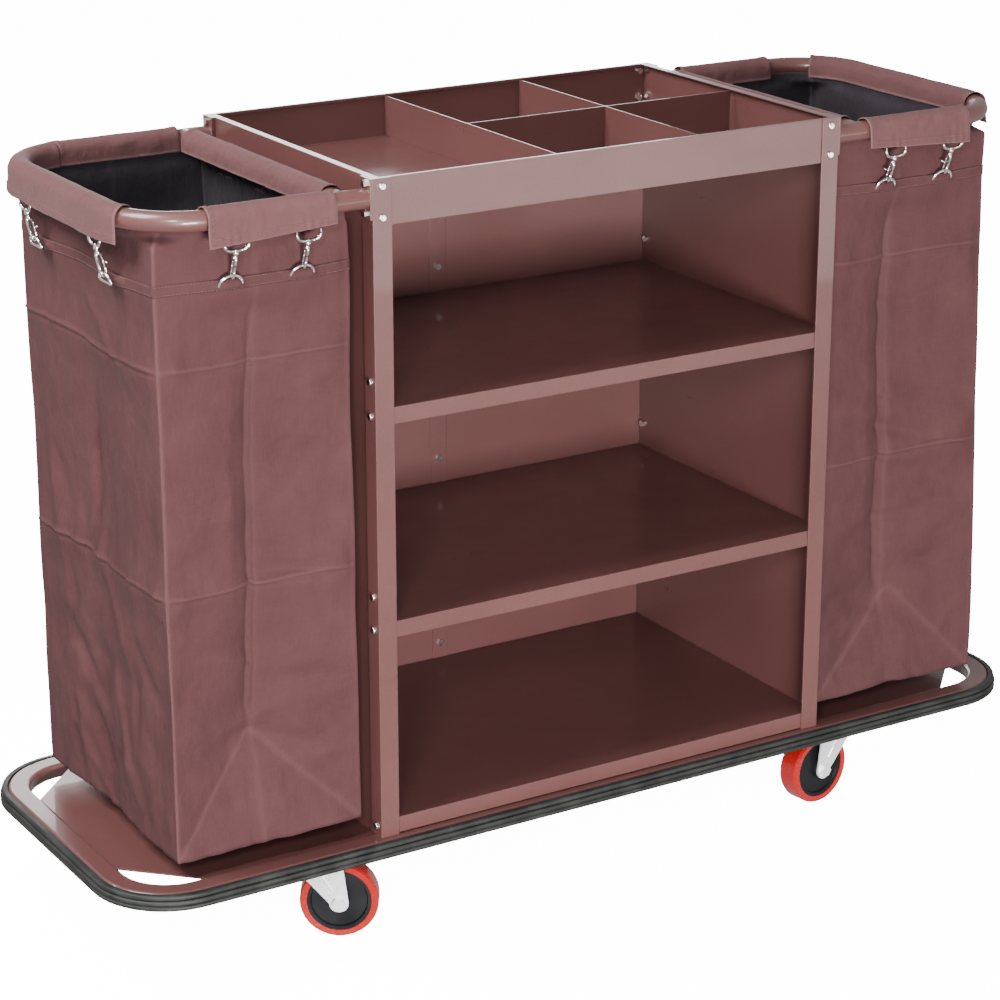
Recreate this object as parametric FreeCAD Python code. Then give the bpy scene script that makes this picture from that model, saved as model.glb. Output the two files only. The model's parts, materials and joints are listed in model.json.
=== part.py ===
"""Housekeeping cart: sheet-metal cabinet with shelves and a divided tray on a bumper base,
with a fabric laundry bag in a tube frame at each end, on four swivel casters.

Frame: millimetres, +Z up, +X along the cart, the open front faces -Y.
The origin is on the floor under the middle of the cart.
"""
import FreeCAD
import Part
import math
import os

V = FreeCAD.Vector

# ---------------------------------------------------------------- driving dimensions

# wheels and casters
wheel_radius = 51.0
tread_width = 32.0
tread_depth = 9.5
core_width = 28.0
tread_shoulder = 2.0
tread_bond_step = 1.0
core_rim_depth = 6.0
core_web_inset = 3.0
hub_radius = 12.0
hub_gap = 0.8
edge_bevel = 1.5
axle_radius = 5.0
axle_clearance = 0.05
axle_hex_radius = 9.0
axle_hex_height = 5.0
caster_x = 405.0
caster_y = 168.0
caster_trail = 24.0
swivel_angles = {
    "front_left": -31.5,
    "front_right": 188.5,
    "rear_left": 22.0,
    "rear_right": 158.0,
}
fork_gap = 40.0
fork_sheet = 2.5
fork_top_z = 121.0
fork_bridge = 10.0
fork_top_half = 27.0
fork_foot_radius = 12.5
fork_shoulder_drop = 16.0
fork_shoulder_out = 4.0
fork_head_fillet = 3.0
fork_rib_radius = 2.0
fork_rib_inset = 8.0
fork_rib_rise = 18.0
race_radius = 27.0
race_taper = 4.0
race_gap = 0.4
kingpin_radius = 6.0
kingpin_head = 9.0
kingpin_head_height = 4.0
caster_plate_length = 92.0
caster_plate_width = 70.0
caster_plate_sheet = 3.0
caster_plate_corner = 8.0
stud_spacing_x = 72.0
stud_spacing_y = 50.0

# base
base_top = 139.0
rim_half_length = 695.5
rim_half_width = 233.5
rim_corner = 95.0
rim_width = 30.0
rim_height = 20.0
rim_fillet = 5.0
deck_top = 136.0
deck_sheet = 2.0
deck_corner_sum = 785.0
bumper_depth = 10.0
bumper_ridge_height = 6.6
bumper_ridges = 3
bumper_top_setback = 2.0
bumper_ridge_fillet = 2.77
cross_member_x = (-560.0, -330.0, 0.0, 330.0, 560.0)
cross_member_width = 30.0
cross_member_height = 12.0

# cabinet
cabinet_half_length = 345.0
cabinet_half_depth = 222.5
cabinet_top = 992.0
post_flange = 26.0
post_sheet = 2.0
panel_sheet = 1.2
shelf_sheet = 1.2
shelf_lip = 21.5
bottom_shelf_top = 162.0
lower_shelf_top = 429.0
upper_shelf_top = 707.0
back_seam_x = -12.0
back_seam_lap = 24.0

# tray
tray_depth = 58.0
tray_sheet = 1.5
tray_end_flange = 10.0
tray_hem = 2.5
divider_sheet = 1.5
divider_drop = 2.0
divider_left_x = -80.0
divider_right_x = 132.0
divider_long_y = 3.0

# bag frames
tube_radius = 12.5
tube_z = 967.0
leg_y = 210.0
frame_end_x = 638.0
frame_bend = 90.0
cross_tube_x = 382.0
end_plate_sheet = 3.0
end_plate_height = 50.0
frame_bolt_offset = 18.0

# bags
bag_wall = 3.0
bag_bottom = 157.0
bag_wall_top = 948.0
bag_outer_x = 618.0
bag_inner_x = 362.0
bag_half_depth = 193.0
flare_start = 850.0
flap_clearance = 1.5
flap_hem = 942.0
flap_inner_hem = 930.0
flap_near_x = 397.0
flap_far_x = 562.0
end_flap_front_bend = 20.0
end_flap_rear_bend = 80.0
end_flap_bend_hem = 950.0
cross_flap_half = 186.0

# snap hooks and D-rings
hook_x = (437.0, 533.0)
hook_end_y = (-98.0, 82.0)
hook_top = 939.5
hook_wire = 1.6
hook_eye_half = 15.4
hook_eye_side = 8.0
hook_eye_drop = 13.0
hook_collar_radius = 3.4
hook_neck_top = 16.0
hook_neck_radius = 2.2
hook_shank_top = 19.0
hook_shank_bottom = 37.5
hook_shank_radius = 3.2
hook_thumb_length = 4.0
hook_thumb_radius = 1.4
hook_claw_radius = 6.5
hook_claw_wire = 1.8
hook_length = 61.9
ring_radius = 15.0
ring_gap = 0.9
end_hook_slant = 29.5

# fasteners
screw_radius = 2.5
screw_head_radius = 5.0
screw_head_height = 2.8
nut_height = 3.5
hole_play = 0.15
frame_bolt_radius = 2.5
frame_bolt_head = 4.8
frame_bolt_head_height = 4.0
stud_radius = 4.0
stud_nut_radius = 7.0
stud_nut_height = 5.0
post_screw_inset = 13.0
tray_screw_z = (944.0, 982.0)
panel_screw_rise = 33.0
seam_screw_x = 0.0
seam_screw_z = (185.0, 465.0, 743.0)

# values that follow from the driving dimensions
post_inner_x = cabinet_half_length - post_sheet
post_inner_y = cabinet_half_depth - post_sheet
panel_inner_x = post_inner_x - panel_sheet
panel_inner_y = post_inner_y - panel_sheet
tray_bottom = cabinet_top - tray_depth
deck_bottom = deck_top - deck_sheet
kingpin_bottom = fork_top_z - fork_bridge - race_gap
shelf_tops = {
    "bottom_shelf": bottom_shelf_top,
    "lower_shelf": lower_shelf_top,
    "upper_shelf": upper_shelf_top,
}
corners = {
    "front_left": (-1, -1),
    "front_right": (1, -1),
    "rear_left": (-1, 1),
    "rear_right": (1, 1),
}


# ---------------------------------------------------------------- helpers

def box(x0, x1, y0, y1, z0, z1):
    """Box between two corners, given in any order."""
    low = V(min(x0, x1), min(y0, y1), min(z0, z1))
    return Part.makeBox(abs(x1 - x0), abs(y1 - y0), abs(z1 - z0), low)


def cylinder(start, end, radius):
    """Solid rod between two points."""
    return Part.makeCylinder(radius, (end - start).Length, start, end - start)


def fuse(shapes):
    """One clean solid made from shapes that touch or overlap."""
    return shapes[0].multiFuse(shapes[1:]).removeSplitter()


def rod(points, radius):
    """Round wire along straight runs, with a ball at each bend."""
    pieces = []
    for start, end in zip(points, points[1:]):
        pieces.append(cylinder(start, end, radius))
    for point in points[1:-1]:
        pieces.append(Part.makeSphere(radius, point))
    return fuse(pieces)


def rounded_plate(half_length, half_width, radius, z0, z1):
    """Flat slab with four rounded corners."""
    slab = box(-half_length, half_length, -half_width, half_width, z0, z1)
    upright = [e for e in slab.Edges if abs(e.Vertexes[0].Z - e.Vertexes[1].Z) > (z1 - z0) / 2]
    return slab.makeFillet(radius, upright)


def ring(half_length, half_width, radius, width, z0, z1):
    """Flat ring that follows a rounded rectangle."""
    outer = rounded_plate(half_length, half_width, radius, z0, z1)
    inner = rounded_plate(half_length - width, half_width - width, radius - width, z0 - 1, z1 + 1)
    return outer.cut(inner)


def level_edges(shape, *levels):
    """Edges that lie wholly at one of the given heights."""
    found = []
    for edge in shape.Edges:
        box_of_edge = edge.BoundBox
        for level in levels:
            if abs(box_of_edge.ZMin - level) < 1e-4 and abs(box_of_edge.ZMax - level) < 1e-4:
                found.append(edge)
    return found


def extrude_polygon(points, direction):
    """Prism over a closed polygon."""
    outline = Part.makePolygon(points + [points[0]])
    return Part.Face(outline).extrude(direction)


def hexagon(centre, axis, radius, height):
    """Hexagonal prism, as a nut or a bolt's head; radius is to its corners."""
    steps = [math.radians(60.0 * i) for i in range(6)]
    points = [V(radius * math.cos(a), radius * math.sin(a), 0) for a in steps]
    prism = extrude_polygon(points, V(0, 0, height))
    prism.Placement = FreeCAD.Placement(centre, FreeCAD.Rotation(V(0, 0, 1), axis))
    return prism


def mirror_x(shape):
    """The same piece at the other end of the cart."""
    return shape.mirror(V(0, 0, 0), V(1, 0, 0))


def drill(shape, fasteners, radius):
    """Clearance holes for a list of fastener axes, each a start point and an end point."""
    holes = [cylinder(start, end, radius + hole_play) for start, end in fasteners]
    return shape.cut(Part.makeCompound(holes)).removeSplitter()


# ---------------------------------------------------------------- fastener axes

def tray_screw_axes():
    """Screws through each post's front or rear flange into the tray wall."""
    axes = []
    for side, face in corners.values():
        x = side * (cabinet_half_length - post_screw_inset)
        for z in tray_screw_z:
            axes.append((V(x, face * cabinet_half_depth, z), V(x, face * (post_inner_y - tray_sheet), z)))
    return axes


def frame_bolt_axes():
    """Bolts through each bag frame's end plate, the post's side flange and the tray wall."""
    axes = []
    for side, face in corners.values():
        for offset in (-frame_bolt_offset, frame_bolt_offset):
            z = tube_z + offset
            y = face * leg_y
            outer = V(side * (cabinet_half_length + end_plate_sheet), y, z)
            axes.append((outer, V(side * (post_inner_x - tray_sheet), y, z)))
    return axes


def shelf_screw_axes():
    """Screws through post, side panel and shelf lip, one per shelf corner."""
    axes = []
    for side, face in corners.values():
        for top in shelf_tops.values():
            z = top - shelf_lip / 2
            y = face * (cabinet_half_depth - post_screw_inset)
            axes.append((V(side * cabinet_half_length, y, z), V(side * (panel_inner_x - shelf_sheet), y, z)))
    return axes


def panel_screw_axes():
    """Screws that hold the side panels to the posts, above the two upper shelves."""
    axes = []
    for side, face in corners.values():
        for top in (lower_shelf_top, upper_shelf_top):
            z = top + panel_screw_rise
            y = face * (cabinet_half_depth - post_screw_inset)
            axes.append((V(side * cabinet_half_length, y, z), V(side * panel_inner_x, y, z)))
    return axes


def seam_screw_axes():
    """Screws down the lapped seam of the back panel."""
    axes = []
    for z in seam_screw_z:
        axes.append((V(seam_screw_x, post_inner_y, z), V(seam_screw_x, panel_inner_y - panel_sheet, z)))
    return axes


def screw(start, end, radius, head_radius, head_height, hex_head=False):
    """Fastener whose head sits outside start and whose nut sits beyond end."""
    axis = (end - start).normalize()
    nut = hexagon(end, axis, head_radius, nut_height)
    shank = cylinder(start, end + axis * nut_height, radius)
    if hex_head:
        head = hexagon(start, axis * -1, head_radius, head_height)
    else:
        head = Part.makeCylinder(head_radius, head_height, start, axis * -1)
        rim = [e for e in head.Edges if abs(e.Length - 2 * math.pi * head_radius) < 0.01]
        outer = max(rim, key=lambda e: (e.CenterOfMass - end).Length)
        head = head.makeFillet(head_height * 0.6, [outer])
    return fuse([head, shank, nut])


def screws(axes):
    """Round-headed screws as separate solids."""
    group = [screw(a, b, screw_radius, screw_head_radius, screw_head_height) for a, b in axes]
    return Part.makeCompound(group)


def bolts(axes):
    """Hexagon-headed bolts as separate solids."""
    group = [screw(a, b, frame_bolt_radius, frame_bolt_head, frame_bolt_head_height, True) for a, b in axes]
    return Part.makeCompound(group)


# ---------------------------------------------------------------- base

def base_rim():
    """Flat bar bent to a rounded rectangle, with soft rolled edges; solid in place of a tube."""
    bottom = base_top - rim_height
    frame = ring(rim_half_length, rim_half_width, rim_corner, rim_width, bottom, base_top)
    return frame.makeFillet(rim_fillet, level_edges(frame, bottom, base_top))


def base_deck():
    """Sheet floor inside the rim, with its four corners cut off at 45 degrees to leave gaps."""
    inner_x = rim_half_length - rim_width
    inner_y = rim_half_width - rim_width
    cut_x = deck_corner_sum - inner_y
    cut_y = deck_corner_sum - inner_x
    points = []
    for sx, sy in ((1, 1), (-1, 1), (-1, -1), (1, -1)):
        on_side = V(sx * inner_x, sy * cut_y, deck_bottom)
        on_end = V(sx * cut_x, sy * inner_y, deck_bottom)
        points += [on_side, on_end] if sx * sy > 0 else [on_end, on_side]
    deck = extrude_polygon(points, V(0, 0, deck_sheet))
    return drill(deck, stud_axes(), stud_radius)


def base_cross_members():
    """Flat bars under the deck, from rim to rim."""
    inner_y = rim_half_width - rim_width
    half = cross_member_width / 2
    bottom = deck_bottom - cross_member_height
    members = [box(x - half, x + half, -inner_y, inner_y, bottom, deck_bottom) for x in cross_member_x]
    return Part.makeCompound(members)


def bumper():
    """Rubber strip round the rim with three rounded ridges."""
    low = base_top - rim_height
    layers = []
    for i in range(bumper_ridges):
        z0 = low + i * bumper_ridge_height
        z1 = z0 + bumper_ridge_height
        is_top = i == bumper_ridges - 1
        depth = bumper_depth - bumper_top_setback if is_top else bumper_depth
        layer = rounded_plate(rim_half_length + depth, rim_half_width + depth, rim_corner + depth, z0, z1)
        layer = layer.makeFillet(bumper_ridge_fillet, level_edges(layer, z0, z1))
        layers.append(layer)
    strip = fuse(layers)
    hollow = rounded_plate(rim_half_length, rim_half_width, rim_corner, low - 1, base_top + 1)
    return strip.cut(hollow)


# ---------------------------------------------------------------- cabinet

def post(side, face):
    """Corner post of angle section, open towards the inside of the cabinet."""
    x = side * cabinet_half_length
    y = face * cabinet_half_depth
    front = box(x, x - side * post_flange, y, y - face * post_sheet, base_top, cabinet_top)
    flank = box(x, x - side * post_sheet, y, y - face * post_flange, base_top, cabinet_top)
    angle = fuse([front, flank])
    angle = drill(angle, tray_screw_axes() + shelf_screw_axes() + panel_screw_axes(), screw_radius)
    return drill(angle, frame_bolt_axes(), frame_bolt_radius)


def side_panel(side):
    """Flat end wall between a front and a rear post, with a tongue down to the deck."""
    outer = side * post_inner_x
    inner = side * panel_inner_x
    tongue_y = rim_half_width - rim_width - 1.0
    wall = box(outer, inner, -post_inner_y, panel_inner_y, base_top, tray_bottom)
    tongue = box(outer, inner, -tongue_y, tongue_y, deck_top, base_top)
    return drill(fuse([wall, tongue]), shelf_screw_axes() + panel_screw_axes(), screw_radius)


def back_panel(x0, x1, y0, y1):
    """One half of the rear wall."""
    wall = box(x0, x1, y0, y1, base_top, tray_bottom)
    return drill(wall, seam_screw_axes(), screw_radius)


def back_panel_left():
    """Left half, behind the seam."""
    return back_panel(-post_inner_x, back_seam_x + back_seam_lap, panel_inner_y, post_inner_y)


def back_panel_right():
    """Right half: it laps over the left half, then steps back to the posts."""
    lap = back_panel(back_seam_x, back_seam_x + back_seam_lap, panel_inner_y - panel_sheet, panel_inner_y)
    step_x = back_seam_x + back_seam_lap
    rest = back_panel(step_x, post_inner_x, panel_inner_y, post_inner_y)
    joint = back_panel(step_x, step_x + panel_sheet, panel_inner_y - panel_sheet, panel_inner_y)
    return fuse([lap, joint, rest])


def shelf(top):
    """Sheet shelf with a lip turned down on all four sides."""
    rear_y = panel_inner_y - panel_sheet
    slab = box(-panel_inner_x, panel_inner_x, -post_inner_y, rear_y, top - shelf_lip, top)
    under = box(
        -panel_inner_x + shelf_sheet, panel_inner_x - shelf_sheet,
        -post_inner_y + shelf_sheet, rear_y - shelf_sheet,
        top - shelf_lip - 1, top - shelf_sheet,
    )
    return drill(slab.cut(under), shelf_screw_axes(), screw_radius)


# ---------------------------------------------------------------- tray

def top_tray():
    """Open tray between the posts, with flat flanges on its end walls and a hem front and back."""
    outer = box(-post_inner_x, post_inner_x, -post_inner_y, post_inner_y, tray_bottom, cabinet_top)
    inner = box(
        -post_inner_x + tray_sheet, post_inner_x - tray_sheet,
        -post_inner_y + tray_sheet, post_inner_y - tray_sheet,
        tray_bottom + tray_sheet, cabinet_top + 1,
    )
    pieces = [outer.cut(inner)]
    for side in (-1, 1):
        x = side * post_inner_x
        pieces.append(box(x, x - side * tray_end_flange, -post_inner_y, post_inner_y,
                          cabinet_top - tray_sheet, cabinet_top))
        y = side * post_inner_y
        pieces.append(box(-post_inner_x, post_inner_x, y, y - side * (tray_sheet + tray_hem),
                          cabinet_top - tray_sheet - tray_hem, cabinet_top))
    tray = drill(fuse(pieces), tray_screw_axes(), screw_radius)
    return drill(tray, frame_bolt_axes(), frame_bolt_radius)


def full_divider(x):
    """Divider from the tray's front wall to its rear wall."""
    reach = post_inner_y - tray_sheet - tray_hem - 0.1
    half = divider_sheet / 2
    return box(x - half, x + half, -reach, reach, tray_bottom + tray_sheet, cabinet_top - divider_drop)


def divider_middle_z():
    """Height at which the crossing dividers are notched."""
    return (tray_bottom + tray_sheet + cabinet_top - divider_drop) / 2


def tray_divider_left():
    """Divider beside the large left compartment."""
    return full_divider(divider_left_x)


def tray_divider_right():
    """Divider notched from above where the long divider crosses it."""
    half = divider_sheet / 2 + 0.05
    notch = box(divider_right_x - 5, divider_right_x + 5, divider_long_y - half, divider_long_y + half,
                divider_middle_z(), cabinet_top)
    return full_divider(divider_right_x).cut(notch)


def tray_divider_long():
    """Divider along the cart, notched from below to sit in the right divider."""
    half = divider_sheet / 2
    start = divider_left_x + half
    end = post_inner_x - tray_sheet - tray_end_flange + 2.0
    wall = box(start, end, divider_long_y - half, divider_long_y + half,
               tray_bottom + tray_sheet, cabinet_top - divider_drop)
    gap = half + 0.05
    notch = box(divider_right_x - gap, divider_right_x + gap, divider_long_y - 5, divider_long_y + 5,
                tray_bottom, divider_middle_z())
    return wall.cut(notch)


# ---------------------------------------------------------------- bag frames (left; the right is mirrored)

def frame_path():
    """Centre line of the bent tube, from the front end plate round to the rear one."""
    start_x = -(cabinet_half_length + end_plate_sheet)
    bend_x = -(frame_end_x - frame_bend)
    bend_y = leg_y - frame_bend
    diagonal = frame_bend * math.sqrt(0.5)
    edges = [
        Part.LineSegment(V(start_x, -leg_y, tube_z), V(bend_x, -leg_y, tube_z)),
        Part.Arc(
            V(bend_x, -leg_y, tube_z),
            V(bend_x - diagonal, -bend_y - diagonal, tube_z),
            V(-frame_end_x, -bend_y, tube_z)),
        Part.LineSegment(V(-frame_end_x, -bend_y, tube_z), V(-frame_end_x, bend_y, tube_z)),
        Part.Arc(
            V(-frame_end_x, bend_y, tube_z),
            V(bend_x - diagonal, bend_y + diagonal, tube_z),
            V(bend_x, leg_y, tube_z)),
        Part.LineSegment(V(bend_x, leg_y, tube_z), V(start_x, leg_y, tube_z)),
    ]
    return Part.Wire([e.toShape() for e in edges])


def pipe(path, radius):
    """Round bar swept along a path that starts along -X."""
    start = path.Vertexes[0].Point
    circle = Part.Wire(Part.makeCircle(radius, start, V(-1, 0, 0)))
    return path.makePipeShell([circle], True, False)


def bag_frame():
    """Bent bar in place of a tube, with a welded plate on each end."""
    pieces = [pipe(frame_path(), tube_radius)]
    for face in (-1, 1):
        x = -cabinet_half_length
        y = face * cabinet_half_depth
        plate = box(x, x - end_plate_sheet, y, y - face * post_flange,
                    tube_z - end_plate_height / 2, tube_z + end_plate_height / 2)
        pieces.append(plate)
    return drill(fuse(pieces), frame_bolt_axes(), frame_bolt_radius)


def cross_tube():
    """Straight bar in place of a tube, beside the cabinet, coped to fit the frame's two legs."""
    tube = cylinder(V(-cross_tube_x, -leg_y, tube_z), V(-cross_tube_x, leg_y, tube_z), tube_radius)
    for face in (-1, 1):
        leg = cylinder(
            V(-cross_tube_x - 60, face * leg_y, tube_z),
            V(-cross_tube_x + 60, face * leg_y, tube_z),
            tube_radius)
        tube = tube.cut(leg)
    return tube


# ---------------------------------------------------------------- bags (left; the right is mirrored)

def flap_profile(centre, inward, outer_hem, inner_hem):
    """Upside-down U that passes over a tube; inward points from the tube to the bag's middle."""
    low = tube_radius + flap_clearance
    high = low + bag_wall
    up = V(0, 0, 1)
    outside_top = centre - inward * high
    points = [
        outside_top + up * (outer_hem - tube_z),
        outside_top,
        centre + inward * high,
        centre + inward * high + up * (inner_hem - tube_z),
        centre + inward * low + up * (inner_hem - tube_z),
        centre + inward * low,
        centre - inward * low,
        centre - inward * low + up * (outer_hem - tube_z),
    ]
    outer_arc = Part.Arc(points[1], centre + up * high, points[2]).toShape()
    inner_arc = Part.Arc(points[5], centre + up * low, points[6]).toShape()
    straight = [(0, 1), (2, 3), (3, 4), (4, 5), (6, 7), (7, 0)]
    lines = [Part.makeLine(points[a], points[b]) for a, b in straight]
    ordered = [lines[0], outer_arc, lines[1], lines[2], lines[3], inner_arc, lines[4], lines[5]]
    return Part.Face(Part.Wire(ordered))


def leg_flap(face):
    """Flap over the frame's front or rear leg."""
    profile = flap_profile(V(-flap_far_x, face * leg_y, tube_z), V(0, -face, 0), flap_hem, flap_inner_hem)
    return profile.extrude(V(flap_far_x - flap_near_x, 0, 0))


def end_flap():
    """Flap over the frame's end: straight middle, a little of the front bend, most of the rear bend.

    On the bends its inner hem stops above the bag's walls.
    """
    bend_y = leg_y - frame_bend
    centre_x = -(frame_end_x - frame_bend)
    start = V(-frame_end_x, -bend_y, tube_z)
    inward = V(1, 0, 0)
    middle = flap_profile(start, inward, flap_hem, flap_inner_hem).extrude(V(0, 2 * bend_y, 0))
    front_profile = flap_profile(start, inward, flap_hem, end_flap_bend_hem)
    front = front_profile.revolve(V(centre_x, -bend_y, 0), V(0, 0, 1), end_flap_front_bend)
    rear_profile = front_profile.translated(V(0, 2 * bend_y, 0))
    rear = rear_profile.revolve(V(centre_x, bend_y, 0), V(0, 0, -1), end_flap_rear_bend)
    return [middle, front, rear]


def cross_flap():
    """Flap over the cross tube; it comes over from the cabinet side and its hem hangs in the bag."""
    profile = flap_profile(V(-cross_tube_x, -cross_flap_half, tube_z), V(-1, 0, 0), flap_inner_hem, flap_hem)
    return profile.extrude(V(0, 2 * cross_flap_half, 0))


def bag_flare():
    """Sloping top of the end wall, from the bag's box out to the flap."""
    bend_y = leg_y - frame_bend
    top_x = -(frame_end_x - tube_radius - flap_clearance - bag_wall / 2)
    points = [
        V(-bag_outer_x, -bend_y, flare_start),
        V(-bag_outer_x + bag_wall, -bend_y, flare_start),
        V(top_x + bag_wall, -bend_y, bag_wall_top),
        V(top_x, -bend_y, bag_wall_top),
    ]
    return extrude_polygon(points, V(0, 2 * bend_y, 0))


def bag():
    """Laundry bag: open box of heavy cloth with four flaps over the tubes."""
    outer = box(-bag_outer_x, -bag_inner_x, -bag_half_depth, bag_half_depth, bag_bottom, bag_wall_top)
    inner = box(-bag_outer_x + bag_wall, -bag_inner_x - bag_wall, -bag_half_depth + bag_wall,
                bag_half_depth - bag_wall, bag_bottom + bag_wall, bag_wall_top + 1)
    bend_y = leg_y - frame_bend
    window = box(-bag_outer_x - 1, -bag_outer_x + bag_wall, -bend_y, bend_y, flare_start, bag_wall_top + 1)
    body = outer.cut(inner).cut(window)
    flaps = [leg_flap(-1), leg_flap(1), cross_flap(), bag_flare()] + end_flap()
    return fuse([body] + flaps)


# ---------------------------------------------------------------- snap hooks and D-rings

def snap_hook_parts():
    """Swivel snap hook and D-ring, hanging down -Z from the middle of the hook's eye bar."""
    eye = rod([
        V(0, 0, -hook_eye_drop),
        V(-hook_eye_half, 0, -hook_eye_side),
        V(-hook_eye_half, 0, 0),
        V(hook_eye_half, 0, 0),
        V(hook_eye_half, 0, -hook_eye_side),
        V(0, 0, -hook_eye_drop),
    ], hook_wire)
    collar = cylinder(V(0, 0, -hook_eye_drop - hook_wire), V(0, 0, -hook_neck_top), hook_collar_radius)
    neck = cylinder(V(0, 0, -hook_neck_top), V(0, 0, -hook_shank_top), hook_neck_radius)
    shank = cylinder(V(0, 0, -hook_shank_top), V(0, 0, -hook_shank_bottom), hook_shank_radius)
    thumb_z = -(hook_shank_top + hook_collar_radius + hook_neck_radius)
    thumb_start = V(-hook_shank_radius, 0, thumb_z)
    thumb = cylinder(thumb_start, thumb_start - V(hook_thumb_length, 0, 0), hook_thumb_radius)
    claw = Part.makeTorus(hook_claw_radius, hook_claw_wire, V(0, 0, -hook_shank_bottom - hook_claw_radius),
                          V(1, 0, 0))
    hook = fuse([eye, collar, neck, shank, thumb, claw])
    bar_z = -hook_length
    arch = Part.makeTorus(ring_radius, hook_wire, V(0, 0, bar_z), V(0, 1, 0))
    reach = ring_radius + 2 * hook_wire
    upper = box(-reach, reach, -reach, reach, bar_z, bar_z + reach)
    bar = cylinder(V(-ring_radius, 0, bar_z), V(ring_radius, 0, bar_z), hook_wire)
    ends = [Part.makeSphere(hook_wire, V(s * ring_radius, 0, bar_z)) for s in (-1, 1)]
    d_ring = fuse([arch.common(upper), bar] + ends)
    return hook, d_ring


def hook_placements():
    """Where the left bag's hooks hang: (eye bar, D-ring bar, turned to face the end)."""
    flap_middle = tube_radius + flap_clearance + bag_wall / 2
    outside_y = leg_y + flap_middle
    ring_y = bag_half_depth + hook_wire + ring_gap
    reach = outside_y - ring_y
    drop = math.sqrt(hook_length ** 2 - reach ** 2)
    places = []
    for face in (-1, 1):
        for x in hook_x:
            top = V(-x, face * outside_y, hook_top)
            places.append((top, V(-x, face * ring_y, hook_top - drop), 0.0))
    outside_x = frame_end_x + flap_middle
    end_reach = hook_length * math.sin(math.radians(end_hook_slant))
    end_drop = hook_length * math.cos(math.radians(end_hook_slant))
    for y in hook_end_y:
        top = V(-outside_x, y, hook_top)
        places.append((top, V(-outside_x + end_reach, y, hook_top - end_drop), 90.0))
    return places


def hook_group(which):
    """All the hooks (which = 0) or all the D-rings (which = 1) of the left bag."""
    solids = []
    for top, bottom, turn in hook_placements():
        shape = snap_hook_parts()[which]
        lean = FreeCAD.Rotation(V(0, 0, -1), bottom - top)
        spin = FreeCAD.Rotation(V(0, 0, 1), turn)
        shape.Placement = FreeCAD.Placement(top, lean.multiply(spin))
        solids.append(shape)
    return Part.makeCompound(solids)


# ---------------------------------------------------------------- casters

def stud_axes():
    """Axes of the four studs over each caster, from the deck's top down to the plate's underside."""
    axes = []
    for side, face in corners.values():
        for dx in (-stud_spacing_x / 2, stud_spacing_x / 2):
            for dy in (-stud_spacing_y / 2, stud_spacing_y / 2):
                x = side * caster_x + dx
                y = face * caster_y + dy
                axes.append((V(x, y, deck_top), V(x, y, deck_bottom - caster_plate_sheet)))
    return axes


def caster_studs():
    """Studs welded flush into the deck, with a nut under each caster plate."""
    studs = []
    for top, under in stud_axes():
        nut = hexagon(under, V(0, 0, -1), stud_nut_radius, stud_nut_height)
        studs.append(fuse([cylinder(top, under - V(0, 0, stud_nut_height), stud_radius), nut]))
    return Part.makeCompound(studs)


def caster_plate(side, face):
    """Top plate with the fixed half of the raceway and the kingpin."""
    top = deck_bottom
    under = top - caster_plate_sheet
    x = side * caster_x
    y = face * caster_y
    half_x = caster_plate_length / 2
    half_y = caster_plate_width / 2
    plate = box(x - half_x, x + half_x, y - half_y, y + half_y, under, top)
    upright = [e for e in plate.Edges if abs(e.Vertexes[0].Z - e.Vertexes[1].Z) > 1]
    plate = plate.makeFillet(caster_plate_corner, upright)
    plate = drill(plate, stud_axes(), stud_radius)
    cup_z = fork_top_z + race_gap
    cup = Part.makeCone(race_radius - race_taper, race_radius, under - cup_z, V(x, y, cup_z))
    pin = Part.makeCylinder(kingpin_radius, under - kingpin_bottom, V(x, y, kingpin_bottom))
    head = Part.makeCylinder(kingpin_head, kingpin_head_height, V(x, y, kingpin_bottom - kingpin_head_height))
    return fuse([plate, cup, pin, head])


def place_caster(shape, name):
    """Turn a caster piece, modelled with its wheel trailing along +X, to its place."""
    side, face = corners[name]
    turned = shape.copy()
    turned.rotate(V(0, 0, 0), V(0, 0, 1), swivel_angles[name])
    turned.translate(V(side * caster_x, face * caster_y, 0))
    return turned


def fork_cheek_outline():
    """Raked side of the fork: wide at the bridge, round at the axle."""
    top = fork_top_z - fork_bridge
    axle = V(caster_trail, 0, wheel_radius)
    foot = fork_foot_radius
    left = axle + V(-foot, 0, 0)
    bottom = axle + V(0, 0, -foot)
    right = axle + V(foot, 0, 0)
    top_left = V(-fork_top_half, 0, top)
    top_right = V(fork_top_half, 0, top)
    shoulder_left = V(-fork_top_half, 0, top - fork_shoulder_drop)
    shoulder_right = V(fork_top_half + fork_shoulder_out, 0, top - fork_shoulder_drop)
    arc = Part.Arc(left, bottom, right).toShape()
    lines = [
        Part.makeLine(right, shoulder_right),
        Part.makeLine(shoulder_right, top_right),
        Part.makeLine(top_right, top_left),
        Part.makeLine(top_left, shoulder_left),
        Part.makeLine(shoulder_left, left),
    ]
    return Part.Face(Part.Wire([arc] + lines))


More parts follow.
